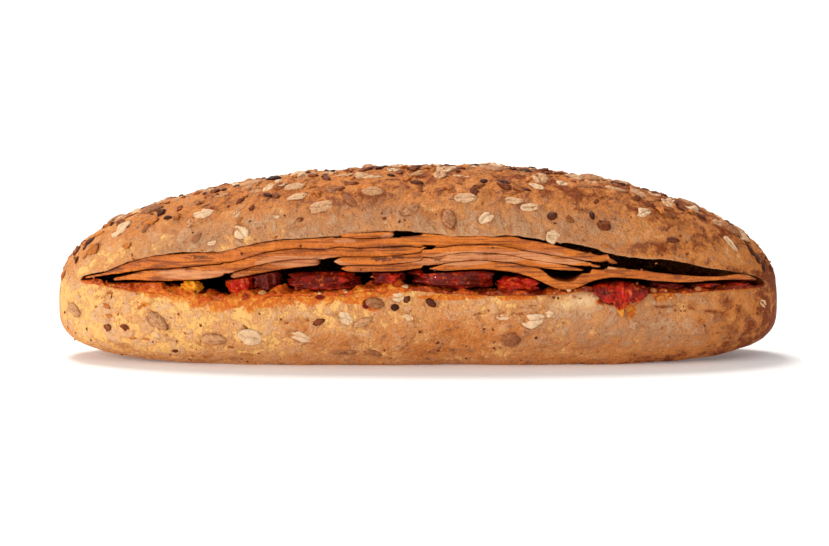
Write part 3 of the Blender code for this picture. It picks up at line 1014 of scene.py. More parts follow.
@dataclass(frozen=True)
class FloorFinish:
    """The plain white studio floor."""

    white: Colour = (0.93, 0.93, 0.93)
    glow: float = 0.12

    def material(self) -> bpy.types.Material:
        """Builds a matt white material with a faint glow.

        Returns:
            The material.
        """
        make = Maker("floor_white", Specular_IOR_Level=0.1, Emission_Strength=self.glow)
        make.shader.inputs["Emission Color"].default_value = (1.0, 1.0, 1.0, 1.0)
        tone = make.mix(make.grain(0.5, 1.0) * 0.02, self.white, (0.9, 0.9, 0.9))
        return make.finish(tone, 0.8, make.grain(0.05, 1.0), 1e-6)


# The roll


@dataclass(frozen=True)
class Roll:
    """The bread: one closed skin that runs over the crust and through the slit."""

    stations: int = 380
    outer: tuple = ((-58, 60), (-122, 14), (-205, 32), (-285, 44), (None, 66))
    face_points: int = 22
    slit_fade: float = 0.003
    cut_step: float = 0.0003
    lip_rounding: int = 4
    swelling: float = 0.0004
    curl: float = 0.0012
    curl_reach: tuple[float, float] = (0.0045, 0.0060)
    curl_span: tuple = ((0.045, 0.066), (0.123, 0.112))
    front_span: tuple[float, float] = (-0.002, -0.016)
    smear_pixels: tuple = (
        (222, 296, 16, 5), (263, 304, 12, 6), (190, 288, 30, 4), (150, 284, 30, 3), (243, 299, 30, 5),
        (300, 299, 30, 3), (330, 296, 30, 2.5), (372, 303, 11, 9), (450, 297, 40, 3), (505, 295, 12, 6),
        (661, 299, 8, 4), (673, 298, 6, 4), (702, 321, 3, 3), (632, 312, 6, 9), (690, 291, 30, 3),
        (616, 300, 22, 7),
        (355, 300, 14, 5), (520, 297, 20, 3), (250, 310, 5, 4), (141, 307, 5, 3),
    )
    gore_pixels: tuple = (
        (320, 297, 6, 3), (366, 304, 5, 6), (612, 300, 16, 7), (150, 283, 22, 1.5), (760, 289, 14, 3),
    )
    toast_pixels: tuple = (
        (396, 342, 26, 17), (469, 333, 36, 20), (330, 345, 30, 12), (590, 345, 50, 10), (660, 250, 48, 8),
        (430, 352, 60, 9), (300, 330, 20, 12), (520, 330, 20, 12),
    )

    def x_stations(self) -> Array:
        """Places along the roll, evenly spaced on its plan outline with the sideways way counted half.

        Returns:
            The places.
        """
        share = np.sin(np.linspace(-math.pi / 2, math.pi / 2, 4001))
        x = share * LOAF.length / 2
        way = np.concatenate(((0.0,), np.cumsum(np.hypot(np.diff(x), 0.5 * np.diff(LOAF.half_width(x))))))
        return np.interp(np.linspace(0, way[-1], self.stations + 2)[1:-1], way, x)

    def section_angles(self, low: Array, high: Array) -> Array:
        """Angles from the lower lip down, under, up the back and over to the upper lip, dense where it shows.

        Args:
            low: The lower lip's angle at each station.
            high: The upper lip's.
        Returns:
            One row of angles for each station.
        """
        parts, start = [], low
        for degrees, count in self.outer:
            end = high - 2 * math.pi if degrees is None else np.full_like(low, math.radians(degrees))
            share = np.arange(count + (degrees is None)) / count
            parts.append(start[:, None] + (end - start)[:, None] * share)
            start = end
        return np.concatenate(parts, axis=1)

    def points(self) -> tuple[Array, int]:
        """The whole skin before its relief, and how many points of a section lie on the crust.

        Returns:
            The points, and that count.
        """
        x = self.x_stations()
        ends = [end * LOAF.cutter_share for end in LOAF.mouth_ends]
        held = np.clip(x, *ends)
        low = LOAF.angle_at(held, LOAF.lip(held))
        high = LOAF.angle_at(held, LOAF.lip(held) + LOAF.opening(held))
        outer = LOAF.crust(x[:, None], self.section_angles(low, high))
        inward = (np.arange(1, self.face_points + 1) / (self.face_points + 0.5)) ** 1.7
        back = LOAF.pocket_point(x[:, None], inward, 0.0)[..., 1]
        floor = LOAF.pocket_floor(x[:, None], inward)
        roof = floor + LOAF.pocket_height(x[:, None], inward)
        station = np.broadcast_to(x[:, None], floor.shape)
        steps = self.cut_step * np.arange(1, self.face_points + 1)
        upper = np.stack((station, np.maximum(back, outer[:, -1:, 1] + steps), roof), -1)
        lower = np.stack((station, np.maximum(back, outer[:, :1, 1] + steps), floor), -1)
        pocket = np.concatenate((upper, lower[:, ::-1]), axis=1)
        share = np.arange(1, 2 * self.face_points + 1) / (2 * self.face_points + 1)
        arc = LOAF.crust(x[:, None], high[:, None] + (low - high)[:, None] * share)
        inside = np.minimum(x - ends[0], ends[1] - x)
        fade = smooth(inside, 0.0, self.slit_fade)[:, None, None]
        return np.concatenate((outer, arc + (pocket - arc) * fade), axis=1), outer.shape[1]

    def rounded(self, points: Array, crust_count: int) -> Array:
        """Rounds both lips: points near them move part way to their neighbours' middle, several times.

        Args:
            points: Points of the skin.
            crust_count: How many points of a section lie on the crust.
        Returns:
            The moved points.
        """
        count = points.shape[1]
        off = [np.abs(np.arange(count) - lip) for lip in (0, crust_count - 1)]
        apart = [np.minimum(away, count - away) for away in off]
        share = 0.5 * bell(np.minimum(*apart), 3.0)[None, :, None]
        for _ in range(self.lip_rounding):
            middle = (np.roll(points, 1, axis=1) + np.roll(points, -1, axis=1)) / 2
            points = points + share * (middle - points)
        return points

    def curled(self, points: Array) -> Array:
        """Lets the upper lip hang a little on the right, by a bell round its edge.

        Args:
            points: Points of the skin.
        Returns:
            The moved points.
        """
        x, y, z = np.moveaxis(points, -1, 0)
        opening = LOAF.opening(x)
        off, into = z - LOAF.lip(x) - opening, y + LOAF.half_width(x)
        upright, inward = self.curl_reach
        near = bell(off, upright) * bell(into, inward) * (off > -0.45 * opening)
        left, right = self.curl_span
        return np.stack((x, y, z - self.curl * near * smooth(x, *left) * smooth(x, *right)), -1)

    def sides(self, points: Array) -> tuple[Array, Array, Array, Array]:
        """How far a point belongs to the front, the lid and the lower half, and its share of the height.

        Args:
            points: Points of the skin.
        Returns:
            The four shares, from 0 to 1.
        """
        x, y, z = np.moveaxis(points, -1, 0)
        lip = LOAF.lip(x)
        height = np.clip((z - LOAF.keel(x)) / np.maximum(LOAF.crown(x) - LOAF.keel(x), 0.01), 0, 1)
        return smooth(y, *self.front_span), smooth(z, lip, lip + 0.006), smooth(z, 0.040, 0.026), height

    def toasting_and_shade(self, points: Array) -> Array:
        """How browned the crust looks: more on the crown, at the base, by the slit and behind, and more to the
        right, partly real browning and partly painted shade for light from the left, darkest low on the right.

        Args:
            points: Points of the skin.
        Returns:
            Shares of about 0 to 1.
        """
        x, y, z = np.moveaxis(points, -1, 0)
        front, above, below, height = self.sides(points)
        # Partly real browning, partly painted shade: lighter to the left, darker to the right, most low down
        # and at the lower right end.
        toast_and_shade = 0.20 + 0.26 * smooth(x, -0.10, 0.01) + 0.32 * below * smooth(x, 0.02, 0.11)
        toast_and_shade += 0.32 * below * smooth(x, 0.100, 0.126) + above * (0.30 - 0.16 * smooth(x, -0.080, -0.115))
        toast_and_shade += 0.28 * smooth(height, 0.74, 0.92) + 0.26 * smooth(z - LOAF.keel(x), 0.0065, 0.0005)
        toast_and_shade += front * 0.32 * pixel_share(x, z, self.toast_pixels)
        toast_and_shade += 0.12 * smooth(y, -0.005, 0.02)
        ridge = z - (LOAF.lip(x) + LOAF.opening(x))
        return toast_and_shade + 0.10 * front * bell(ridge, 0.0026) * smooth(np.abs(x + 0.005), 0.03, 0.09)

    def dusted_and_shaded(self, points: Array) -> Array:
        """How floury the crust looks, with painted shade: over the lid's front, and low down right of the
        middle.

        Args:
            points: Points of the skin.
        Returns:
            Shares of 0 to 1.
        """
        x, _, z = np.moveaxis(points, -1, 0)
        front, above, below, height = self.sides(points)
        lid_dust_and_shade = smooth(height, 0.92, 0.74) * smooth(x, -0.108, -0.085) * smooth(x, 0.090, 0.045)
        low_dust_and_shade = smooth(x, 0.030, 0.055) * smooth(x, 0.112, 0.088) * smooth(z - LOAF.keel(x), 0.004, 0.010)
        return front * np.maximum(above * lid_dust_and_shade, below * low_dust_and_shade)

    def stained(self, points: Array) -> Array:
        """How much sauce soaked the crust: in smears below the slit, and in an uneven band along the lip.

        Args:
            points: Points of the skin.
        Returns:
            Shares of 0 to 1.
        """
        x, _, z = np.moveaxis(points, -1, 0)
        lip, soaked = LOAF.lip(x), LOAF.soaked(x)
        drip = 0.0010 + 0.0034 * soaked + 0.0012 * noise(on_line(x * 130), 31)
        edge = bell(np.clip(lip - z, 0, None), np.maximum(drip, 0.0003))
        edge *= LOAF.in_slit(x) * (0.50 + 0.35 * soaked) * smooth(z, lip + 0.003, lip + 0.001)
        return self.sides(points)[0] * np.maximum(0.85 * pixel_share(x, z, self.smear_pixels), edge)

    def marks(self, points: Array, crust_count: int) -> dict[str, Array]:
        """What the finish reads: how browned, floury, torn, stained, reddened and creased each point is, with
        painted shade in the browning, the flour, the red and the creases.

        Args:
            points: Points of the skin.
            crust_count: How many points of a section lie on the crust.
        Returns:
            Values by mark.
        """
        x, y, z = np.moveaxis(points, -1, 0)
        front, lip, into = self.sides(points)[0], LOAF.lip(x), y + LOAF.half_width(x)
        count = points.shape[1]
        place = np.broadcast_to(np.arange(count)[None, :], x.shape)
        cut = smooth(place, crust_count - 1.5, crust_count + 1.5)
        cut *= smooth(place, count + 0.5, count - 1.5) * LOAF.in_slit(x)
        behind = cut * smooth(z, lip + 0.004, lip + 0.001)
        toast_and_shade = self.toasting_and_shade(points)
        # Painted shade: the slit's cut faces turn fully browned from 1 to 4 mm in from the front.
        toast_and_shade = toast_and_shade + cut * (1.0 - toast_and_shade) * smooth(into, 0.0010, 0.0040)
        stain = np.maximum(self.stained(points), 0.8 * behind)
        # Partly sauce behind the lower lip, partly painted shade: the cut faces redden further into the slit.
        deep = 0.25 * smooth(into, 0.002, 0.010) + 0.40 * behind * smooth(into, 0.0005, 0.004)
        red_and_slit_shade = np.maximum(front * 0.8 * pixel_share(x, z, self.gore_pixels), cut * deep)
        bare = cut * (1 - behind) * smooth(into, 0.0040, 0.0012)
        return {
            "toast_and_shade": toast_and_shade,
            "dust_and_shade": self.dusted_and_shaded(points),
            "crumb": np.maximum(bare, front * torn_share(x, z) * 0.8),
            "stain": stain,
            "red_and_slit_shade": red_and_slit_shade,
            # Painted shade in the creases' grooves.
            "crease": front * np.max([crease.shade(x, z) for crease in CREASES], axis=0),
        }

    def seats(self, points: Array, places: "SeedPlaces") -> Array:
        """How close each point lies to the rim of a seed: the oval distance from the nearest, 1 at the rim.

        Args:
            points: Points of the crust.
            places: The seeds.
        Returns:
            The distances, at most 3.
        """
        flat = points.reshape(-1, 3)
        nearest = np.full(len(flat), 3.0)
        for middle, along, across, size in zip(*places.frame()[:3], places.size):
            near = np.flatnonzero(np.abs(flat - middle).max(axis=1) < 1.3 * size[0])
            away = flat[near] - middle
            oval = 2.0 * np.hypot(away @ along / size[0], away @ across / size[1])
            nearest[near] = np.minimum(nearest[near], oval)
        return nearest.reshape(points.shape[:-1])

    def build(self, seeds: "SeedPlaces") -> None:
        """Makes the piece: skin, lips, relief along the surface's own outward direction, then its tips.

        Args:
            seeds: The larger seeds, round which the crust swells and gets a ring of painted shade.
        """
        points, crust_count = self.points()
        points = self.curled(self.rounded(points, crust_count))
        around = np.roll(points, -1, axis=1) - np.roll(points, 1, axis=1)
        outward = unit(np.cross(around, np.gradient(points, axis=0)))
        behind = crust_count // 2
        flip = np.sign(np.mean(outward[:, behind, 2] * (points[:, behind, 2] - 0.03)))
        oval = self.seats(points, seeds)
        height = LOAF.relief(points) + self.swelling * bell(oval - 1.2, 0.35)
        points = points + outward * flip * height[..., None]
        points[..., 2] = np.maximum(points[..., 2], LOAF.keel(points[..., 0]))
        marks = self.marks(points, crust_count)
        # Painted shade in a ring round each large seed's rim.
        marks["seed_ring_shade"] = bell(oval - 0.98, 0.17)
        tips = np.array([(side * LOAF.length / 2, 0.0, LOAF.tip_level) for side in (-1, 1)])
        for name, value in marks.items():
            marks[name] = np.concatenate((value.ravel(), value[0, :1], value[-1, :1]))
        faces = capped_faces(*points.shape[:2])
        flat = np.concatenate((points.reshape(-1, 3), tips))
        settled(surface("roll_crust", flat, faces, CrustFinish().material(), marks), "crust", "roll")


# Seeds


@dataclass(frozen=True)
class SeedShape:
    """One kind of seed: its size range and its section.

    A seed is an oval of rings from the middle of its top, over the rim, to the middle of its underside.
    """

    around: int
    rings: tuple[float, ...]
    domed: float
    point: float
    groove: float
    ragged: float
    proud: float

    def template(self) -> tuple[Array, Array, Array, Array]:
        """The seed at length, width and thickness 1: points, faces, rim mark and groove mark.

        A ring's radius is the sine of its angle and its height the cosine raised to the dome's power; one end
        narrows to a point and a groove runs along the top.

        Returns:
            Those four arrays.
        """
        turn = np.linspace(0, 2 * math.pi, self.around, endpoint=False)[None, :]
        lean = np.radians(np.array(self.rings))[:, None]
        radius = np.sin(lean) * np.ones_like(turn)
        x, y = radius * np.cos(turn), radius * np.sin(turn)
        y = y * (1.0 - self.point * np.clip(x, 0, 1) ** 2)
        z = signed_power(np.cos(lean), self.domed) * np.ones_like(turn)
        dip = bell(y, 0.22) * (np.abs(x) < 0.8) * (z > 0)
        z = z - self.groove * dip
        points = 0.5 * np.stack((x, y, z), -1).reshape(-1, 3)
        ends = 0.5 * np.array(((0, 0, 1.0 - self.groove), (0, 0, -1.0)))
        rim = np.concatenate((radius.ravel() ** 6, (0.0, 0.0)))
        groove = np.concatenate((dip.ravel(), (1.0, 0.0)))
        return np.concatenate((points, ends)), capped_faces(len(self.rings), self.around), rim, groove


class SeedKind(Enum):
    """The seeds of the crust."""

    OAT = SeedShape(16, (22, 42, 66, 90, 125), 0.6, 0.25, 0.75, 0.28, 0.46)
    KERNEL = SeedShape(12, (30, 60, 90, 130), 0.8, 0.45, 0.0, 0.12, 0.50)
    FLAX = SeedShape(8, (38, 90, 135), 0.8, 0.40, 0.0, 0.08, 0.66)
    BRAN = SeedShape(10, (50, 90, 130), 0.6, 0.20, 0.2, 0.40, 0.66)
    SPECK = SeedShape(6, (50, 90, 130), 0.9, 0.1, 0.0, 0.25, 0.55)


# Seeds seen in the photograph: pixel column, pixel row, length and width in pixels, degrees turned, shade
SEEN_SEEDS = {
    SeedKind.OAT: (
        (121, 230, 25, 16, 32, 0.20), (204, 214, 24, 12, 8, 0.15), (241, 233, 19, 14, -60, 0.10),
        (295, 187, 25, 11, 8, 0.50), (297, 197, 25, 10, 10, 0.35), (321, 207, 27, 15, 8, 0.55),
        (466, 198, 24, 14, 4, 0.45), (512, 201, 24, 10, 6, 0.45), (486, 218, 18, 12, 35, 0.10),
        (530, 208, 22, 9, 12, 0.15), (461, 176, 22, 9, 0, 0.45), (553, 236, 16, 15, 0, 0.0),
        (731, 244, 24, 8, -30, 0.05), (251, 337, 25, 18, -15, 0.0), (301, 337, 28, 12, -24, 0.05),
        (346, 318, 16, 14, -10, 0.05), (398, 297, 15, 10, 10, 0.0), (534, 320, 24, 15, 20, 0.0),
        (549, 314, 11, 7, 10, 0.0), (763, 303, 14, 8, -20, 0.3), (643, 213, 20, 13, 45, 0.15),
        (156, 335, 11, 5, -50, 0.0), (212, 243, 12, 5, 5, 0.0), (277, 217, 8, 5, -20, 0.0),
        (408, 317, 12, 7, -30, 0.2), (506, 316, 20, 9, 15, 0.15), (190, 223, 12, 8, 70, 0.6),
        (537, 187, 18, 8, -20, 0.2), (575, 178, 22, 8, 4, 0.4), (428, 168, 22, 8, 3, 0.7),
        (345, 176, 22, 8, 2, 0.6), (372, 177, 24, 8, 4, 0.45), (220, 196, 20, 10, -8, 0.7),
        (256, 191, 18, 9, 0, 0.6), (237, 214, 12, 8, 60, 0.5),
    ),
    SeedKind.KERNEL: (
        (373, 192, 24, 14, -5, 0.35), (350, 201, 25, 9, -50, 0.95), (411, 210, 22, 11, 30, 0.6),
        (615, 190, 24, 9, -3, 0.2), (739, 230, 19, 11, -35, 0.15), (75, 310, 22, 13, -20, 0.3),
        (158, 321, 26, 15, -42, 0.4), (214, 339, 29, 13, -2, 0.25), (363, 322, 22, 9, 22, 0.2),
        (345, 352, 26, 8, 0, 0.7), (374, 353, 20, 9, -22, 0.7), (449, 220, 22, 14, -75, 0.6),
        (146, 228, 15, 7, 60, 0.9), (197, 238, 14, 8, 45, 0.8), (511, 339, 19, 18, 0, 0.85),
        (331, 191, 15, 8, -50, 0.8), (375, 303, 20, 13, -10, 0.75), (584, 188, 16, 6, 10, 0.8),
    ),
    SeedKind.FLAX: (
        (162, 213, 12, 8, 50, 0.9), (168, 218, 11, 6, -15, 0.9), (274, 180, 17, 9, -4, 1.0),
        (268, 196, 11, 6, -35, 0.9), (237, 187, 9, 5, 0, 0.9), (224, 190, 7, 4, 30, 1.0),
        (391, 176, 10, 6, -30, 1.0),
        (417, 183, 15, 7, -15, 0.7), (484, 181, 9, 8, 10, 0.9), (504, 182, 17, 6, -25, 0.8),
        (525, 172, 16, 9, -12, 0.9), (527, 190, 9, 5, -5, 0.9), (552, 216, 12, 10, 30, 0.7),
        (592, 216, 11, 6, -75, 1.0), (673, 240, 15, 7, 10, 0.6), (395, 307, 9, 8, 0, 1.0),
        (407, 299, 9, 7, 50, 0.6), (431, 303, 13, 8, -38, 0.7), (319, 322, 14, 7, 22, 0.4),
        (680, 209, 13, 5, -22, 0.7), (700, 216, 15, 6, -32, 0.7), (751, 252, 12, 6, -45, 0.9),
        (757, 259, 12, 7, -60, 0.8), (763, 267, 12, 6, -60, 0.9), (748, 247, 10, 5, -40, 0.8),
        (641, 190, 14, 4, -18, 0.7), (656, 193, 9, 5, -10, 0.9), (205, 194, 6, 4, 0, 0.9),
        (112, 225, 5, 4, 0, 0.9),
        (77, 260, 9, 5, 60, 0.8), (85, 248, 7, 4, 50, 0.7), (598, 188, 12, 4, 0, 0.6),
        (450, 167, 18, 4, -2, 0.7),
    ),
    SeedKind.BRAN: (
        (128, 246, 10, 8, 0, 0.2), (180, 209, 10, 6, 60, 0.7), (256, 181, 10, 8, 0, 0.4),
        (212, 197, 16, 9, -10, 0.5), (300, 220, 8, 5, 10, 0.8), (384, 218, 6, 4, 0, 0.8),
        (603, 225, 14, 12, 0, 0.8), (570, 220, 10, 8, -30, 0.6), (596, 201, 8, 5, 60, 0.8),
        (252, 208, 8, 6, 60, 0.9), (110, 293, 7, 6, 0, 0.4), (141, 307, 10, 4, 15, 0.3),
        (106, 306, 13, 5, -30, 0.3), (108, 327, 8, 7, 10, 0.7), (125, 327, 11, 6, -25, 0.8),
        (175, 350, 6, 5, 0, 0.8), (231, 347, 9, 3, 0, 0.6), (246, 328, 8, 5, -60, 0.6),
        (661, 299, 12, 7, 15, 0.1),
        (673, 298, 8, 6, 15, 0.1), (702, 321, 6, 5, 0, 0.1), (133, 338, 9, 3, 0, 0.2),
        (146, 339, 8, 3, 0, 0.2),
        (109, 316, 7, 4, 0, 0.2), (96, 307, 4, 3, 0, 0.5), (578, 209, 10, 4, 0, 0.6),
        (240, 220, 8, 6, 50, 0.4),
        (430, 170, 24, 6, 3, 0.5), (310, 187, 14, 4, 10, 0.6), (498, 176, 14, 8, -5, 0.5),
        (546, 176, 12, 5, -4, 0.6),
        (420, 332, 4, 3, 0, 0.8), (438, 343, 4, 3, 40, 0.9), (606, 246, 10, 4, 0, 0.3),
        (345, 169, 12, 5, 0, 0.8),
    ),
}


@dataclass(frozen=True)
class Strewing:
    """How one kind of seed is strewn: how many tries, from and to which degrees, its size, spread and gap."""

    count: int
    span: tuple[float, float]
    size: tuple[float, float, float]
    spread: float
    gap: float


STREWINGS = {
    SeedKind.OAT: Strewing(520, (60, 215), (0.0066, 0.0046, 0.0012), 0.35, 0.0045),
    SeedKind.KERNEL: Strewing(40, (80, 215), (0.0078, 0.0040, 0.0026), 0.2, 0.0052),
    SeedKind.FLAX: Strewing(270, (60, 220), (0.0042, 0.0023, 0.0013), 0.25, 0.0026),
    SeedKind.BRAN: Strewing(700, (46, 225), (0.0044, 0.0028, 0.0008), 0.5, 0.0024),
    SeedKind.SPECK: Strewing(420, (-70, 240), (0.0011, 0.0008, 0.0006), 0.5, 0.0012),
}
THINNESS = {SeedKind.OAT: 0.23, SeedKind.KERNEL: 0.42, SeedKind.FLAX: 0.40, SeedKind.BRAN: 0.22}
SEED_FINISHES = {
    SeedKind.OAT: SeedFinish(
        "oat_finish", paint(238, 200, 158), paint(190, 120, 66), paint(132, 70, 32), 0.6, 0.8, 0.8
    ),
    SeedKind.KERNEL: SeedFinish(
        "kernel_finish", paint(216, 160, 112), paint(150, 88, 50), paint(92, 44, 20), 0.5, 1.3, 0.8
    ),
    SeedKind.FLAX: SeedFinish(
        "flax_finish", paint(150, 76, 38), paint(68, 28, 12), paint(40, 16, 6), 0.42, 0.4
    ),
    SeedKind.BRAN: SeedFinish(
        "bran_finish", paint(218, 130, 58), paint(104, 42, 15), paint(88, 38, 14), 0.6, 0.8
    ),
    SeedKind.SPECK: SeedFinish(
        "speck_finish", paint(190, 106, 50), paint(96, 46, 22), paint(60, 30, 16), 0.6, 0.2
    ),
}


def spaced(points: Array, space: float, allowed: Array) -> list[int]:
    """Takes points in turn, each only if it lies far enough from those taken before it.

    Args:
        points: The points.
        space: The least distance between two.
        allowed: Whether each point may be taken at all.
    Returns:
        The indices of those taken.
    """
    kept: list[int] = []
    for candidate in np.flatnonzero(allowed):
        if all(np.linalg.norm(points[candidate] - points[k]) > space for k in kept):
            kept.append(int(candidate))
    return kept


def clearance(points: Array, others: Array) -> Array:
    """Each point's distance from the nearest of the others."""
    return np.linalg.norm(points[:, None] - others[None], axis=2).min(axis=1)


@dataclass(frozen=True)
class SeedPlaces:
    """Where the seeds of one kind lie on the roll."""

    x: Array
    angle: Array
    turn: Array
    size: Array
    shade: Array

    def values(self) -> tuple[Array, ...]:
        """The five arrays, in the order of the fields."""
        return self.x, self.angle, self.turn, self.size, self.shade

    def points(self) -> Array:
        """Each seed's place on the smooth crust."""
        return LOAF.crust(self.x, self.angle)

    def frame(self) -> tuple[Array, Array, Array, Array]:
        """Each seed's place on the crust and its unit directions along, across and out.

        Returns:
            The places and three directions.
        """
        x, angle = self.x, self.angle
        step, swing, tip = 0.0015, 0.03, 0.1309
        middle = LOAF.skin(x, angle)
        ahead = LOAF.crust(np.clip(x + step, -tip, tip), angle)
        along = unit(ahead - LOAF.crust(np.clip(x - step, -tip, tip), angle))
        over = LOAF.crust(x, angle + swing) - LOAF.crust(x, angle - swing)
        outward = unit(np.cross(over, along))
        inside = middle - np.stack((x * 0.9, np.zeros_like(x), LOAF.belly(x)), -1)
        outward *= np.sign(np.einsum("ij,ij->i", outward, inside))[:, None]
        turn = np.radians(self.turn)[:, None]
        lengthways = unit(along * np.cos(turn) + np.cross(outward, along) * np.sin(turn))
        return middle, lengthways, np.cross(outward, lengthways), outward

    def joined(self, other: "SeedPlaces") -> "SeedPlaces":
        """These places and the other's."""
        return SeedPlaces(*(np.concatenate(pair) for pair in zip(self.values(), other.values())))

    def chosen(self, keep: Array) -> "SeedPlaces":
        """Some of these places."""
        return SeedPlaces(*(value[keep] for value in self.values()))


@dataclass(frozen=True)
class SeedCoat:
    """All the seeds of the crust: those seen in front, the part's even scatter, and finer ones between."""

    oat_size: tuple[float, float, float] = (0.0092, 0.0064, 0.0021)
    kernel_size: tuple[float, float, float] = (0.0096, 0.0050, 0.0032)
    pixel: float = 0.000352
    scattered: int = 96
    steps: tuple[float, float] = (0.7549, 0.5698)
    round_span: tuple[float, float] = (64, 208)
    scatter_length: float = 0.93
    turn_step: float = 137.0
    space: float = 0.0104
    kernel_every: int = 3
    clear: float = 0.0045
    tip: float = 0.1302
    angle_range: tuple[float, float] = (-1.25, 1.66)
    grazing: tuple[float, float] = (1.2, 1.8)
    strewn_share: float = 0.985

    def seen(self, kind: SeedKind) -> SeedPlaces:
        """Solves where each pixel's sight line meets the crust: halves on the angle, then steps along x.

        Args:
            kind: The kind of seed.
        Returns:
            The places.
        """
        column, row, length, breadth, turn, shade = np.array(SEEN_SEEDS[kind], float).T
        x = (column - VIEW.picture[0] / 2) * self.pixel
        for _ in range(7):
            x = np.clip(x, -self.tip, self.tip)
            low, high = (np.full_like(x, limit) for limit in self.angle_range)
            for _ in range(24):
                middle = (low + high) / 2
                above = VIEW.column_row(LOAF.crust(x, middle))[1] < row
                low, high = np.where(above, low, middle), np.where(above, middle, high)
            x = x + (column - VIEW.column_row(LOAF.crust(x, low))[0]) * self.pixel
        x = np.clip(x, -self.tip, self.tip)
        length, breadth = length * self.pixel, breadth * self.pixel
        steep, widening = self.grazing
        flatter = np.where(low > steep, widening, 1.0)
        size = np.stack((length, breadth * flatter, np.minimum(length, 1.4 * breadth) * THINNESS[kind]), -1)
        return SeedPlaces(x, low, turn, size, shade)

    def part_scatter(self) -> dict[SeedKind, SeedPlaces]:
        """The part's own scatter on the crown and back: golden-ratio steps, kept where no other lies near.

        Returns:
            The places by kind.
        """
        low, high = self.round_span
        index = np.arange(self.scattered)
        along = (0.5 + self.steps[0] * (index + 1)) % 1.0
        around = (0.5 + self.steps[1] * (index + 1)) % 1.0
        x = LOAF.length * self.scatter_length * (along - 0.5)
        degrees = np.radians(low + (high - low) * around)
        power = 2.0 / LOAF.upper_squareness
        angle = np.arctan2(signed_power(np.sin(degrees), power), signed_power(np.cos(degrees), power))
        kept = spaced(LOAF.crust(x, angle), self.space, np.ones_like(index, bool))
        found = {}
        for kind, size in ((SeedKind.OAT, self.oat_size), (SeedKind.KERNEL, self.kernel_size)):
            chosen = np.array([k for k in kept if (k % self.kernel_every == 0) == (kind is SeedKind.KERNEL)])
            sizes = np.tile(size, (len(chosen), 1))
            shade = 0.2 + 0.6 * ((chosen * 0.618) % 1.0)
            found[kind] = SeedPlaces(x[chosen], angle[chosen], self.turn_step * chosen, sizes, shade)
        return found

    def strewn(self, kind: SeedKind, taken: Array) -> SeedPlaces:
        """A seeded random scatter, dense on the crown and thin on the sides, clear of seeds already laid.

        Args:
            kind: The kind of seed.
            taken: Places of the seeds laid so far.
        Returns:
            The places.
        """
        way = STREWINGS[kind]
        draw = np.random.default_rng(40 + list(SeedKind).index(kind))
        x = (draw.random(way.count) - 0.5) * LOAF.length * self.strewn_share
        low, high = way.span
        angle = np.radians(low + (high - low) * draw.random(way.count))
        points = LOAF.crust(x, angle)
        kept = spaced(points, way.gap, clearance(points, taken) > way.gap)
        sizes = np.array(way.size) * (1.0 + way.spread * (2 * draw.random((way.count, 3)) - 1))
        turn, shade = 360 * draw.random(way.count), draw.random(way.count)
        return SeedPlaces(x, angle, turn, sizes, shade).chosen(kept)

    def piece(self, kind: SeedKind, places: SeedPlaces, finish: SeedFinish) -> None:
        """Makes one joined mesh: each seed is the template on axes along, across and out of the crust.

        Args:
            kind: The kind of seed.
            places: Where its seeds lie.
            finish: Its finish.
        """
        shape = kind.value
        middle, *axes = places.frame()
        base = middle + axes[2] * (places.size[:, 2] * (shape.proud - 0.5))[:, None]
        points, faces, rim, groove = shape.template()
        local = points[None] * places.size[:, None, :]
        world = base[:, None] + sum(local[..., k, None] * axis[:, None] for k, axis in enumerate(axes))
        reach = 0.42 * places.size[:, :1, None]
        broad, fine = world / reach, world / (0.45 * reach)
        wander = [noise(broad, 60 + k) + 0.7 * noise(fine, 65 + k) for k in range(3)]
        world = world + np.stack(wander, -1) * (shape.ragged * places.size[:, 1] * 0.6)[:, None, None]
        world[..., 2] = np.maximum(world[..., 2], 0.0002)
        marks = {
            "shade": np.repeat(places.shade, len(points)),
            "rim": np.tile(rim, len(middle)),
            "groove": np.tile(groove, len(middle)),
        }
        name = f"crust_{kind.name.lower()}_seeds"
        faces = repeated(faces, len(middle), len(points))
        settled(surface(name, world.reshape(-1, 3), faces, finish.material(), marks), "crust", "roll")

    def lay(self) -> dict[SeedKind, SeedPlaces]:
        """Chooses every seed's place, largest kinds first, so that later ones keep clear.

        Returns:
            The places by kind.
        """
        laid = {kind: self.seen(kind) for kind in SEEN_SEEDS}
        taken = np.concatenate([places.points() for places in laid.values()])
        for kind, places in self.part_scatter().items():
            clear = places.chosen(clearance(places.points(), taken) > self.clear)
            laid[kind] = laid[kind].joined(clear)
        taken = np.concatenate([places.points() for places in laid.values()])
        for kind in SeedKind:
            more = self.strewn(kind, taken)
            laid[kind] = laid[kind].joined(more) if kind in laid else more
            taken = np.concatenate((taken, more.points()))
        return laid

    def build(self, laid: dict[SeedKind, SeedPlaces]) -> None:
        """Makes each kind's mesh with its own finish."""
        for kind, finish in SEED_FINISHES.items():
            self.piece(kind, laid[kind], finish)


# Meat slices


@dataclass(frozen=True)
class Slice:
    """One slice: thickness at its left end, middle and right end, inset, rank at the back, and front line."""

    thick: tuple[float, float, float]
    inset: float
    rank: float
    line: tuple[tuple[float, float], ...]


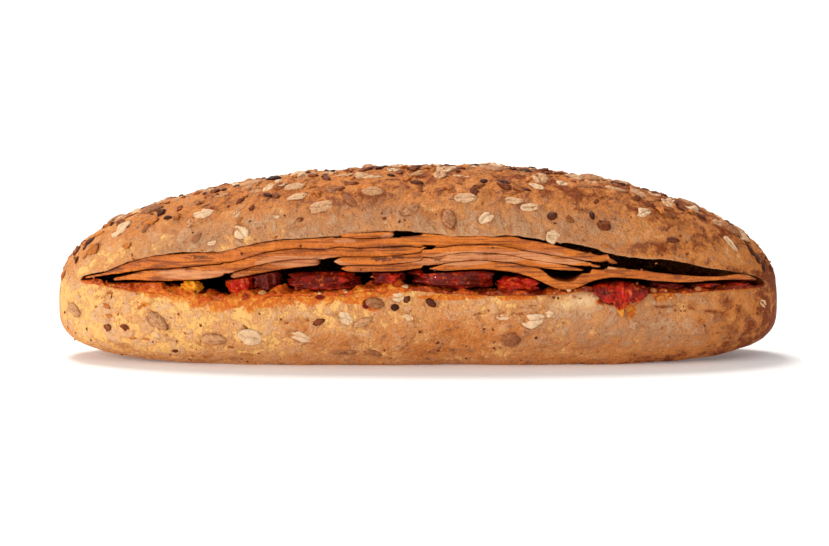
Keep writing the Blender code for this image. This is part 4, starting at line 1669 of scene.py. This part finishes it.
SLICES = {
    "turkey_slice_1": Slice((0.0046, 0.0029, 0.0024), 0.0026, 0.76, (
        (-0.1195, 0.0302), (-0.1120, 0.0322), (-0.1050, 0.0341), (-0.0950, 0.0363), (-0.0817, 0.0377),
        (-0.0690, 0.0392), (-0.0564, 0.0414), (-0.0410, 0.0436), (-0.0266, 0.0446), (-0.0116, 0.0452),
        (0.0050, 0.0452), (0.0216, 0.0454), (0.0356, 0.0440), (0.0567, 0.0403), (0.0700, 0.0374))),
    "turkey_slice_2": Slice((0.0042, 0.0032, 0.0009), 0.0020, 0.42, (
        (-0.1085, 0.0304), (-0.1020, 0.0316), (-0.0948, 0.0325), (-0.0817, 0.0330), (-0.0724, 0.0341),
        (-0.0642, 0.0361), (-0.0564, 0.0380), (-0.0448, 0.0404), (-0.0266, 0.0411), (-0.0110, 0.0416),
        (0.0030, 0.0423))),
    "turkey_slice_3": Slice((0.0015, 0.0027, 0.0017), 0.0042, 0.44, (
        (-0.0660, 0.0328), (-0.0565, 0.0352), (-0.0484, 0.0370), (-0.0400, 0.0379), (-0.0346, 0.0382))),
    "turkey_slice_4": Slice((0.0024, 0.0022, 0.0014), 0.0012, 0.46, (
        (-0.0294, 0.0382), (-0.0168, 0.0385), (-0.0064, 0.0388), (0.0031, 0.0403), (0.0125, 0.0423),
        (0.0216, 0.0430), (0.0300, 0.0420), (0.0426, 0.0398), (0.0567, 0.0375), (0.0640, 0.0364))),
    "turkey_slice_5": Slice((0.0016, 0.0023, 0.0014), 0.0017, 0.32, (
        (-0.0270, 0.0359), (-0.0180, 0.0359), (-0.0064, 0.0364), (0.0031, 0.0379), (0.0125, 0.0398),
        (0.0216, 0.0404), (0.0300, 0.0394), (0.0426, 0.0374), (0.0580, 0.0352))),
    "turkey_slice_6": Slice((0.0018, 0.0028, 0.0014), 0.0008, 0.18, (
        (0.0040, 0.0360), (0.0216, 0.0373), (0.0310, 0.0366), (0.0370, 0.0353), (0.0426, 0.0331),
        (0.0485, 0.0303), (0.0530, 0.0296), (0.0574, 0.0313), (0.0623, 0.0333), (0.0680, 0.0340),
        (0.0765, 0.0336), (0.0852, 0.0323), (0.0983, 0.0312), (0.1084, 0.0312), (0.1215, 0.0301))),
    "turkey_slice_7": Slice((0.0007, 0.0013, 0.0018), 0.0022, 0.92, (
        (-0.0270, 0.0460), (-0.0220, 0.0465), (-0.0180, 0.0469), (-0.0130, 0.0473), (-0.0085, 0.0475))),
}
STACK = (
    "turkey_slice_6", "turkey_slice_5", "turkey_slice_3", "turkey_slice_4",
    "turkey_slice_2", "turkey_slice_1", "turkey_slice_7",
)


# Where pale flesh and dark skin show on the slices' edges: pixel column, row, half length and half height
PALE_PIXELS = (
    (195, 276, 44, 4.5), (300, 262, 44, 5), (338, 264, 4, 5), (388, 236, 6, 3), (500, 256, 62, 5),
    (450, 262, 40, 3), (560, 262, 30, 3), (610, 268, 12, 2), (345, 241, 12, 2),
)
CHAR_PIXELS = (
    (382, 259, 12, 2.5), (398, 257, 8, 2), (486, 254, 16, 0.9), (196, 258, 12, 1.2), (440, 259, 14, 1.0),
)


def curve_through(line: tuple, x: Array) -> Array:
    """Height on the smooth curve through some points: cubic pieces whose slopes span the neighbours.

    Args:
        line: The points, as x and height.
        x: Places along the roll.
    Returns:
        Heights, level beyond the curve's ends.
    """
    line_x, line_z = np.array(line).T
    place = np.arange(len(line))
    left, right = np.maximum(place - 1, 0), np.minimum(place + 1, len(line) - 1)
    slope = (line_z[right] - line_z[left]) / (line_x[right] - line_x[left])
    held = np.clip(x, line_x[0], line_x[-1])
    index = np.clip(np.searchsorted(line_x, held, side="right") - 1, 0, len(line) - 2)
    width = line_x[index + 1] - line_x[index]
    s = (held - line_x[index]) / width
    ends = line_z[index] * (1 - s) ** 2 * (1 + 2 * s) + line_z[index + 1] * s * s * (3 - 2 * s)
    return ends + width * s * (1 - s) * (slope[index] * (1 - s) - slope[index + 1] * s)


@dataclass(frozen=True)
class MeatSlices:
    """The seven thin slices, each lying clear of those below it."""

    gap: float = 0.00016
    swell: float = 0.00045
    back: float = 0.80
    back_thick: float = 0.0013
    reach: float = 0.0025
    wobble: float = 0.0009
    wobble_length: float = 0.011
    squeeze: float = 0.34
    rounding: tuple[float, float, float] = (3.0, 0.5, 0.25)
    spacing: float = 0.0009
    rows: int = 24
    nose_points: int = 13
    nose_power: float = 0.42
    nose_share: float = 0.26
    ragged: float = 0.00055
    line_gap: float = 0.00012
    fill: float = 0.0012
    fill_room: tuple[float, float] = (0.0030, 0.0014)
    end_length: float = 0.0016
    end_inset: float = 0.0012
    end_share: float = 0.35
    fade: float = 0.006
    wave: tuple[float, float] = (0.00016, 0.006)
    relief: tuple[float, float] = (0.00009, 0.0022)
    rim_depth: tuple[float, float] = (0.0011, 0.0007)
    thin_tips: tuple = (
        ("turkey_slice_1", 0.020, 0.012), ("turkey_slice_2", 0.018, 0.004), ("turkey_slice_4", 0.003, 0.012),
        ("turkey_slice_6", 0.006, 0.040), ("turkey_slice_5", 0.003, 0.010),
    )

    def thickness(self, name: str, x: Array, depth: Array) -> Array:
        """A slice's own thickness at the mouth, alike for all at the back, less where the slit is narrow.

        Args:
            name: The slice's node.
            x: Places along the roll.
            depth: 0 at the mouth, 1 at the slit's back.
        Returns:
            Thicknesses.
        """
        piece = SLICES[name]
        left, middle, right = piece.thick
        u = np.clip((x - piece.line[0][0]) / (piece.line[-1][0] - piece.line[0][0]), 0.0, 1.0)
        front = middle + (left - middle) * np.maximum(0.0, 1 - 2 * u) ** 2
        front = front + (right - middle) * np.maximum(0.0, 2 * u - 1) ** 2
        front = front + self.swell * (1 + 0.5 * noise(on_line(x / 0.010, piece.rank * 9), 6))
        thick = front + (self.back_thick - front) * np.minimum(depth / self.back, 1.0)
        return np.minimum(thick, self.squeeze * LOAF.pocket_height(x, depth))

    def spans(self, name: str, x: Array) -> Array:
        """Whether a slice reaches x, or nearly."""
        line = SLICES[name].line
        return (x > line[0][0] - self.reach) & (x < line[-1][0] + self.reach)

    def level(self, name: str, x: Array, depth: Array) -> Array:
        """Height of a slice's middle: its line at the mouth, its rank at the back, and above those below it.

        Args:
            name: The slice's node.
            x: Places along the roll.
            depth: 0 at the mouth, 1 at the slit's back.
        Returns:
            Heights.
        """
        piece = SLICES[name]
        thick = self.thickness(name, x, depth)
        back = LOAF.pocket_floor(x, self.back) + piece.rank * LOAF.pocket_height(x, self.back)
        level = curve_through(piece.line, x)
        level = level + (back - level) * np.minimum(depth / self.back, 1.0)
        floor = LOAF.pocket_floor(x, depth)
        level = np.minimum(level, floor + LOAF.pocket_height(x, depth) - self.gap - thick / 2)
        level = np.maximum(level, floor + self.gap + thick / 2)
        for lower in STACK[: STACK.index(name)]:
            top = self.level(lower, x, depth) + self.thickness(lower, x, depth) / 2
            level = np.where(self.spans(lower, x), np.maximum(level, top + self.gap + thick / 2), level)
        return level

    def roof(self, x: Array, y: Array) -> Array:
        """The underside of whatever lies over a point in the mouth.

        Args:
            x: Places along the roll.
            y: Places across the roll.
        Returns:
            Heights.
        """
        depth = np.maximum(0.0, (y + LOAF.half_width(x)) / LOAF.pocket_depth(x))
        roof = LOAF.pocket_floor(x, depth) + LOAF.pocket_height(x, depth)
        for name in STACK:
            under = self.level(name, x, depth) - self.thickness(name, x, depth) / 2
            roof = np.where(self.spans(name, x), np.minimum(roof, under), roof)
        return roof

    def room(self, name: str, x: Array, depth: Array) -> Array:
        """How far a slice may swell up towards what lies over it: all of a narrow gap, none of a wide one.

        Args:
            name: The slice's node.
            x: Places along the roll.
            depth: 0 at the mouth, 1 at the slit's back.
        Returns:
            Distances.
        """
        over = LOAF.pocket_floor(x, depth) + LOAF.pocket_height(x, depth)
        for upper in STACK[STACK.index(name) + 1:]:
            under = self.level(upper, x, depth) - self.thickness(upper, x, depth) / 2
            over = np.where(self.spans(upper, x), np.minimum(over, under), over)
        free = over - self.level(name, x, depth) - self.thickness(name, x, depth) / 2 - self.line_gap
        return np.clip(free, 0.0, self.fill) * smooth(free, *self.fill_room)

    def thinned(self, name: str, x: Array, ends: Array) -> Array:
        """How much of its thickness a slice keeps near its ends, less where its tips are thin.

        Args:
            name: The slice's node.
            x: Places along the roll.
            ends: 0 at the slice's ends, 1 further in.
        Returns:
            Shares of the thickness.
        """
        line = SLICES[name].line
        share = self.end_share + (1 - self.end_share) * rounded_end(ends)
        for thin_name, left, right in self.thin_tips:
            if thin_name == name:
                to_tip = np.minimum((x - line[0][0]) / left, (line[-1][0] - x) / right)
                share = share * (0.30 + 0.70 * smooth(to_tip, -0.1, 1.0))
        return share

    def marks(self, order: int, points: Array, side: Array, into: Array) -> dict[str, Array]:
        """What the finish reads: browned rim, the top and bottom of the edge (browned skin above, painted
        shade below), pale flesh and char.

        Args:
            order: The slice's rank.
            points: The slice's points.
            side: 1 on the upper sheet, -1 on the lower.
            into: How far in from the edge.
        Returns:
            Values by mark.
        """
        least, more = self.rim_depth
        reach = least + more * noise(points / 0.009, 95)
        nose_side = smooth(side + 0.6 * noise(points * (110, 0, 0) + (0, order, 0), 96), -0.55, 0.35)
        sheet_side = np.where(side > 0, 1.0, 0.25)
        rim = smooth(into, 2.2 * reach, 0.4 * reach) * np.where(np.abs(side) < 1, nose_side, sheet_side)
        # edge: near 1 at the top and bottom of the section, browned skin above and painted shade below.
        found = {"rim": rim, "edge": np.abs(np.broadcast_to(side, into.shape)) ** 5}
        for mark, spots in (("pale", PALE_PIXELS), ("char", CHAR_PIXELS)):
            found[mark] = pixel_share(points[..., 0], points[..., 2], spots) * smooth(into, 0.012, 0.006)
        return found

    def front_edge(self, name: str, x: Array, ends: Array) -> Array:
        """How far behind the roll's front a slice's ragged edge lies, as a depth in the slit.

        Args:
            name: The slice's node.
            x: Places along the roll.
            ends: 0 at the slice's ends, 1 further in.
        Returns:
            Depths.
        """
        order = STACK.index(name)
        along = on_line(x, order * 0.05)
        wobble = self.wobble * noise(along / self.wobble_length, 5)
        wobble += self.ragged * layered(along, 0.0034, 70 + order, 3)
        wobble += self.end_inset * (1 - rounded_end(ends))
        return (SLICES[name].inset + wobble) / LOAF.pocket_depth(x)

    def slab(self, name: str, material: bpy.types.Material) -> None:
        """One slice: a section of two sheets and a blunt nose, carried along the slice's line.

        Args:
            name: The slice's node.
            material: The finish.
        """
        order = STACK.index(name)
        line_x = np.array([x for x, _ in SLICES[name].line])
        length = line_x[-1] - line_x[0]
        u = np.linspace(0, 1, int(length / self.spacing) + 2)[:, None]
        x = np.interp(u * (len(line_x) - 1), np.arange(len(line_x)), line_x)
        ends = np.clip(np.minimum(u, 1 - u) * length / self.end_length, 0.0, 1.0)
        first = self.front_edge(name, x, ends)
        power, root, least = self.rounding
        narrowing = np.maximum(least, np.maximum(0.0, 1.0 - np.abs(2 * u - 1) ** power) ** root)
        nose = self.nose_share * self.thickness(name, x, first) / LOAF.pocket_depth(x)
        inward = (np.arange(1, self.rows + 1) / self.rows) ** 1.5
        sheet = first + nose + ((self.back - first) * narrowing - nose) * inward
        turns = self.nose_points + 2 - self.nose_points % 2
        lean = np.linspace(math.pi / 2, -math.pi / 2, turns)[None, :]
        nose_depth = first + nose * (1 - np.abs(np.cos(lean)) ** self.nose_power)
        depth = np.concatenate((sheet[:, ::-1], nose_depth, sheet), axis=1)
        flat = np.ones_like(inward)
        side = np.concatenate((flat, signed_power(np.sin(lean[0]), self.nose_power), -flat))
        x = np.broadcast_to(x, depth.shape)
        points = LOAF.pocket_point(x, depth, self.level(name, x, depth))
        into = np.clip((depth - first) * LOAF.pocket_depth(x), 0.0, None)
        close = np.exp(-into / self.fade)
        wave = self.wave[0] * layered(points * (1.0, 0.6, 0.0), self.wave[1], 80 + order, 3)
        relief = self.relief[0] * layered(points + (0, 0, order * 0.01), self.relief[1], 90, 2) * side
        swell = close * self.room(name, x, depth) * ends * (1 + side) / 2
        half = side * self.thickness(name, x, depth) / 2 * self.thinned(name, x, ends)
        points[..., 2] += half + close * (wave + relief) + swell
        marks = self.marks(order, points, side, into)
        faces = tube_faces(*depth.shape)
        settled(surface(f"{name}_meat", points.reshape(-1, 3), faces, material, marks), "turkey", name)

    def build(self) -> None:
        """Makes every slice with one shared finish."""
        material = MeatFinish().material()
        for name in SLICES:
            self.slab(name, material)


MEAT = MeatSlices()


# Tomato, pepper, sauce and crumbs


@dataclass(frozen=True)
class Lump:
    """A wrinkled piece: middle along the roll, length, height, depth, turn, roughness, brightness."""

    x: float
    length: float
    height: float
    depth: float
    turn: float
    rough: float
    bright: float


LUMPS = {
    "tomato_piece_1": Lump(-0.0628, 0.0090, 0.0084, 0.014, 6, 0.30, 0.85),
    "tomato_piece_2": Lump(-0.0532, 0.0088, 0.0084, 0.012, -8, 0.34, 0.05),
    "tomato_piece_3": Lump(-0.0330, 0.0236, 0.0062, 0.015, 4, 0.30, 0.40),
    "tomato_piece_4": Lump(-0.0105, 0.0112, 0.0056, 0.013, -8, 0.30, 0.35),
    "tomato_piece_5": Lump(0.0122, 0.0276, 0.0086, 0.019, 0, 0.24, 0.25),
    "tomato_piece_6": Lump(0.0350, 0.0134, 0.0052, 0.013, 6, 0.30, 0.60),
    "tomato_piece_7": Lump(0.0880, 0.0108, 0.0044, 0.012, -6, 0.30, 0.05),
    "tomato_piece_8": Lump(0.1010, 0.0116, 0.0044, 0.011, 8, 0.30, 0.20),
    "tomato_piece_9": Lump(0.1137, 0.0092, 0.0038, 0.008, -14, 0.26, 0.50),
    "pepper_bit": Lump(-0.0800, 0.0072, 0.0046, 0.008, 0, 0.25, 0.5),
}


@dataclass(frozen=True)
class Chunks:
    """The dried tomato pieces and the yellow pepper bit, pressed between the cut face and the meat."""

    inset: float = 0.0016
    foot_gap: float = 0.0007
    press_gap: float = 0.0005
    edge: float = 0.0008
    wrinkles: float = 5.0
    variety: float = 900.0
    fullness: float = 0.75
    crumple: tuple[float, float] = (0.00060, 0.0036)
    around: int = 72
    rings: int = 40

    def piece(self, name: str, spec: Lump, material: bpy.types.Material, slot: str) -> None:
        """One piece: a boxy ball, grown and shrunk by noise, then pressed under what lies over it.

        Args:
            name: The piece's node.
            spec: Its sizes.
            material: The finish.
            slot: The record's slot.
        """
        lean = np.linspace(0, math.pi, self.rings + 2)[1:-1, None]
        turn = np.linspace(0, 2 * math.pi, self.around, endpoint=False)[None, :]
        lean, turn = np.broadcast_arrays(lean, turn)
        ball = np.stack((np.cos(lean), np.sin(lean) * np.cos(turn), np.sin(lean) * np.sin(turn)), -1)
        ball = np.concatenate((ball.reshape(-1, 3), ((1.0, 0, 0), (-1.0, 0, 0))))
        ball = signed_power(ball, self.fullness) / 2
        shift = np.array((spec.x * self.variety, 0, 0))
        grow = 1.0 + spec.rough * noise(ball * self.wrinkles + shift, 7)
        floor = LOAF.lip(np.array(spec.x)) + self.foot_gap
        cosine, sine = math.cos(math.radians(spec.turn)), math.sin(math.radians(spec.turn))
        spin = np.array(((cosine, sine, 0), (-sine, cosine, 0), (0, 0, 1.0)))
        y = self.inset + spec.depth / 2 - LOAF.half_width(np.array(spec.x))
        middle = np.array((spec.x, y, floor + spec.height / 2))
        points = middle + (ball * (spec.length, spec.depth, spec.height) * grow[:, None]) @ spin
        x, y, z = points.T
        share = np.clip((z - middle[2]) / spec.height + 0.5, 0.0, 1.0)
        roof = MEAT.roof(x, y) - self.press_gap
        foot = LOAF.lip(x) + self.foot_gap / 2
        z = np.maximum(foot + self.edge * share, np.minimum(z, roof - self.edge * (1.0 - share)))
        crumple = self.crumple[0] * layered(points, self.crumple[1], 25, 3)
        points = np.stack((x, y, z), -1) + unit(points - middle) * crumple[:, None]
        faces = capped_faces(self.rings, self.around)
        marks = {"bright": np.full(len(points), spec.bright) + 0.35 * noise(points / 0.006, 27)}
        settled(surface(f"{name}_flesh", points, faces, material, marks), slot, name)

    def build(self) -> None:
        """Makes every piece."""
        red = TomatoFinish().material()
        colours = paint(214, 104, 10), paint(244, 168, 24), paint(250, 190, 60)
        yellow = TomatoFinish("pepper_finish", *colours).material()
        for name, spec in LUMPS.items():
            pepper = name == "pepper_bit"
            self.piece(name, spec, yellow if pepper else red, "yellow_pepper" if pepper else "dried_tomato")


def over_lip(x: Array, reach: Array, lift: Array) -> Array:
    """Points lift off the bread: reach below 0 lies on the cut face, above 0 down the crust from the lip.

    Args:
        x: Places along the roll.
        reach: How far past the lip.
        lift: How far off the surface.
    Returns:
        The points.
    """
    lip = LOAF.lip(x)
    z = lip - np.maximum(reach, 0.0)
    bowl = LOAF.belly(x) - LOAF.keel(x) + LOAF.base_sag * LOAF.along(x, 4.0)
    down = np.clip((LOAF.belly(x) - z) / bowl, 0.0, 1.0)
    crust_y = -LOAF.half_width(x) * (1.0 - down**LOAF.lower_squareness) ** (1 / LOAF.lower_squareness)
    y = np.where(reach <= 0, -LOAF.half_width(x) - reach, crust_y)
    lean = math.pi / 2 * np.clip(reach / 0.0016 + 0.5, 0.0, 1.0)
    return np.stack((x, y - np.sin(lean) * lift, z + np.cos(lean) * lift), -1)


@dataclass(frozen=True)
class Shred:
    """The ragged red piece that hangs out over the lip."""

    span: tuple[float, float] = (0.0613, 0.0806)
    gap: float = 0.0010
    inside: float = 0.0095
    drip: float = 0.0072
    thick: float = 0.0026
    edge: float = 0.0009
    fold: float = 0.625
    ragged: float = 0.2
    fringe: tuple[float, float] = (0.72, 0.28)
    side: float = 0.06
    narrowing: float = 0.34
    bumps: float = 0.3
    columns: int = 90
    rows: int = 60

    def build(self) -> None:
        """Two sheets over the lip, the upper one lumpy, joined round their rim."""
        u = np.linspace(0, 1, self.columns)[:, None]
        v = np.linspace(0, 1, self.rows)[None, :]
        line = on_line(u * 7.0, 1.0)
        ragged = self.ragged * noise(line, 9) + 0.10 * noise(line * (3.1, 1, 1), 10)
        narrow = 1.0 - self.narrowing * smooth(v + u * 0, self.fold, 1.0)
        x = self.span[0] + (self.span[1] - self.span[0]) * (0.5 + (u - 0.5) * narrow + ragged * v / 4)
        fringe = self.fringe[0] + self.fringe[1] * np.cos(u * 4 * math.pi) + ragged
        crown = np.sin(math.pi * np.clip(u, self.side, 1.0 - self.side)) ** 0.5
        inner, outer = v / self.fold - 1.0, (v - self.fold) / (1.0 - self.fold)
        reach = np.where(inner < 0, self.inside * inner, self.drip * fringe * crown * outer)
        spot = np.stack((u * 9.0 + v * 0, v * 7.0 + u * 0, u * 0 + v * 0 + 5.0), -1)
        bump = 1.0 + self.bumps * noise(spot, 12) + 0.25 * layered(spot, 0.5, 13, 3)
        lift = np.maximum(self.thick * bump * crown, self.edge)
        rim = np.minimum(np.minimum(u, 1 - u) / 0.04, np.minimum(v, 1 - v) / 0.05)
        lift = lift * (0.25 + 0.75 * rounded_end(np.clip(rim, 0, 1)))
        top = over_lip(x, reach, self.gap + lift)
        under = over_lip(x, reach, np.full_like(reach, self.gap * 0.6))
        section = np.concatenate((top, under[:, ::-1]), axis=1)
        hang = np.clip(np.concatenate((reach, reach[:, ::-1]), axis=1) / self.drip, 0.0, 1.0)
        bright = 0.45 + 0.5 * noise(section / 0.005, 15) + 0.3 * hang
        marks = {"bright": bright, "peel": smooth(hang, 0.45, 0.95)}
        faces, finish = tube_faces(*section.shape[:2]), TomatoFinish("shred_finish").material()
        piece = surface("tomato_shred_flesh", section.reshape(-1, 3), faces, finish, marks)
        settled(piece, "dried_tomato", "tomato_shred")


@dataclass(frozen=True)
class SauceBed:
    """A thin uneven film of tomato sauce on the lower cut face, over the lip where it soaked in."""

    span: tuple[float, float] = (-0.1215, 0.1262)
    inner: float = 0.011
    over: float = 0.0032
    film: float = 0.0028
    clear: float = 0.0006
    columns: int = 460
    rows: int = 40

    def build(self) -> None:
        """A film whose height is thresholded noise, thin at its rims, over a sheet just below the bread."""
        x = np.linspace(*self.span, self.columns)[:, None]
        v = np.linspace(0, 1, self.rows)[None, :]
        fringe = layered(on_line(x), 0.0075, 51, 3)
        front = -0.0010 + self.over * LOAF.soaked(x) * (0.45 + 0.9 * fringe) + 0.0022 * fringe
        reach = front - (self.inner * LOAF.along(x, 8.0) + front) * v**1.2
        x, reach = np.broadcast_arrays(x, reach)
        spot = np.stack((x, reach, x * 0), -1)
        rim = np.sqrt(np.clip(1 - (2 * v - 1) ** 8, 0, 1)) * LOAF.along(x * 1.02, 20.0)
        height = self.film * rim * (0.32 + 0.70 * layered(spot, 0.0050, 53, 4)) * smooth(reach, 0.004, -0.002)
        left = smooth(x, -0.085, -0.094)
        height = height * (1 + (0.7 * LOAF.soaked(x) + 2.2 * left) * smooth(reach, 0.0, -0.003))
        inner = over_lip(x, reach, height * 0)
        height = np.minimum(height, MEAT.roof(inner[..., 0], inner[..., 1]) - inner[..., 2] - self.clear)
        height = np.maximum(height, 0.00004) + 0.00008
        top, under = over_lip(x, reach, height), over_lip(x, reach, np.full_like(height, -0.0004))
        section = np.concatenate((top, under[:, ::-1]), axis=1)
        both = np.concatenate((reach, reach[:, ::-1]), axis=1)
        wide = np.broadcast_to(x[:, :1], both.shape)
        soaked = LOAF.soaked(wide) * smooth(both, -0.006, -0.001)
        bright = 0.38 + 0.55 * soaked + 0.40 * smooth(wide, -0.080, -0.100) + 0.5 * noise(section / 0.008, 55)
        marks = {"bright": bright, "peel": 0.28 * soaked + 0.25 * noise(section / 0.0045, 56)}
        colours = paint(124, 32, 8), paint(206, 84, 16), paint(230, 130, 34)
        finish = TomatoFinish("sauce_finish", *colours).material()
        piece = surface("sauce_bed", section.reshape(-1, 3), tube_faces(*section.shape[:2]), finish, marks)
        settled(piece, "dried_tomato")


# Crumbs seen on the lip: pixel column, how far behind the edge, size and shade
SEEN_CRUMBS = (
    (262, 0.0012, 0.0026, 0.7), (641, 0.0020, 0.0034, 0.6), (655, 0.0018, 0.0022, 0.9),
    (405, 0.0008, 0.0020, 0.0), (634, 0.0016, 0.0018, 0.4), (702, 0.0016, 0.0020, 0.9),
    (345, 0.0010, 0.0014, 0.6),
)


@dataclass(frozen=True)
class Crumbs:
    """Small bread crumbs and torn bits along the lower lip."""

    count: int = 40
    span: float = 0.235
    torn_pixel: tuple[float, float] = (575.0, 303.0)
    torn_spread: float = 0.006
    behind_share: float = 0.7
    behind: float = 0.004
    below: float = 0.002

    def build(self) -> None:
        """Copies one lumpy ball to seeded random places on the lip, each bent by noise."""
        draw = np.random.default_rng(77)
        x = (draw.random(self.count) - 0.5) * self.span
        torn_count = self.count // 4
        torn = VIEW.on_front(*np.array(self.torn_pixel)[:, None])[0][0]
        x[:torn_count] = torn + self.torn_spread * draw.normal(size=torn_count)
        is_behind = draw.random(self.count) < self.behind_share
        inner, outer = -self.behind * draw.random(self.count), self.below * draw.random(self.count)
        reach = np.where(is_behind, inner, outer)
        size, shade = 0.0002 + 0.0005 * draw.random(self.count) ** 2, draw.random(self.count)
        column, behind, seen_size, seen_shade = np.array(SEEN_CRUMBS).T
        x = np.concatenate((x, VIEW.on_front(column, column * 0 + VIEW.picture[1] / 2)[0]))
        reach = np.concatenate((reach, -behind))
        size, shade = np.concatenate((size, seen_size / 2)), np.concatenate((shade, seen_shade))
        middle = over_lip(x, reach, size * 0.5 + 0.0003)
        points, faces, _, _ = SeedShape(8, (40, 80, 120, 150), 1.0, 0.0, 0.0, 0.3, 0.5).template()
        world = middle[:, None] + points[None] * (2 * size[:, None, None]) * (1.3, 1.0, 0.8)
        wander = np.stack([noise(world / 0.0009, 61 + k) for k in range(3)], -1)
        world = world + wander * size[:, None, None] * 0.45
        faces = repeated(faces, len(x), len(points))
        plain = np.zeros(world.shape[:2])
        marks = {"shade": np.repeat(shade, len(points)), "rim": plain, "groove": plain}
        colours = paint(226, 184, 136), paint(190, 112, 58), paint(160, 84, 40)
        finish = SeedFinish("crumb_finish", *colours, 0.75).material()
        settled(surface("lip_crumbs", world.reshape(-1, 3), faces, finish, marks), "crust")


# Studio


@dataclass(frozen=True)
class Studio:
    """A white floor that sweeps up far behind, a soft light from above and behind, and a low one at left."""

    reach: float = 30.0
    sweep: float = 24.0
    rise: float = 1.5
    ambient: float = 0.46

    def floor(self) -> None:
        """A level sheet that curves up beyond the sweep's start."""
        level, curved = np.linspace(-self.reach, self.sweep, 8), np.linspace(self.sweep, self.reach, 9)[1:]
        y = np.concatenate((level, curved))[:, None]
        z = self.rise * np.clip((y - self.sweep) / (self.reach - self.sweep), 0, 1) ** 2
        x = np.linspace(-self.reach, self.reach, 9)
        points = np.stack(np.broadcast_arrays(x, y, z), -1)
        mesh = bpy.data.meshes.new("floor")
        mesh.from_pydata(points.reshape(-1, 3).tolist(), [], grid_faces(len(y), len(x), False).tolist())
        mesh.materials.append(FloorFinish().material())
        sheet = bpy.data.objects.new("floor", mesh)
        bpy.context.scene.collection.objects.link(sheet)

    def sun(
        self, name: str, towards: Colour, strength: float, softness: float, tint: Colour = (1.0, 1.0, 1.0)
    ) -> None:
        """Adds one soft distant light.

        Args:
            name: The light's name.
            towards: Direction from the sandwich to the light.
            strength: Its strength.
            softness: How wide it looks, in degrees.
            tint: Its colour.
        """
        data = bpy.data.lights.new(name, "SUN")
        data.energy, data.angle, data.color = strength, math.radians(softness), tint
        light = bpy.data.objects.new(name, data)
        x, y, z = towards
        light.rotation_euler = (math.atan2(math.hypot(x, y), z), 0.0, math.atan2(x, -y))
        bpy.context.scene.collection.objects.link(light)

    def build(self) -> None:
        """Makes the floor and the lights."""
        scene = bpy.context.scene
        scene.view_settings.view_transform = "Standard"
        world = bpy.data.worlds.new("studio")
        scene.world = world
        world.use_nodes = True
        background = world.node_tree.nodes["Background"]
        background.inputs["Color"].default_value = (1.0, 1.0, 1.0, 1.0)
        background.inputs["Strength"].default_value = self.ambient
        self.floor()
        self.sun("top_light", (-0.25, 0.45, 1.0), 2.3, 22.0, (1.0, 0.97, 0.92))
        self.sun("left_light", (-0.85, -0.62, 0.28), 1.5, 35.0, (1.0, 0.96, 0.90))
        self.sun("spark_light", (-0.35, -1.0, 0.45), 0.35, 2.0)


def main() -> None:
    """Builds the camera, the sandwich's pieces and the studio."""
    logging.basicConfig(level=logging.INFO, format="%(message)s")
    VIEW.build()
    coat = SeedCoat()
    laid = coat.lay()
    Roll().build(laid[SeedKind.OAT].joined(laid[SeedKind.KERNEL]))
    coat.build(laid)
    for part in (MeatSlices(), Chunks(), Shred(), SauceBed(), Crumbs(), Studio()):
        part.build()
        LOG.info("built %s", type(part).__name__)


if __name__ == "__main__":
    main()
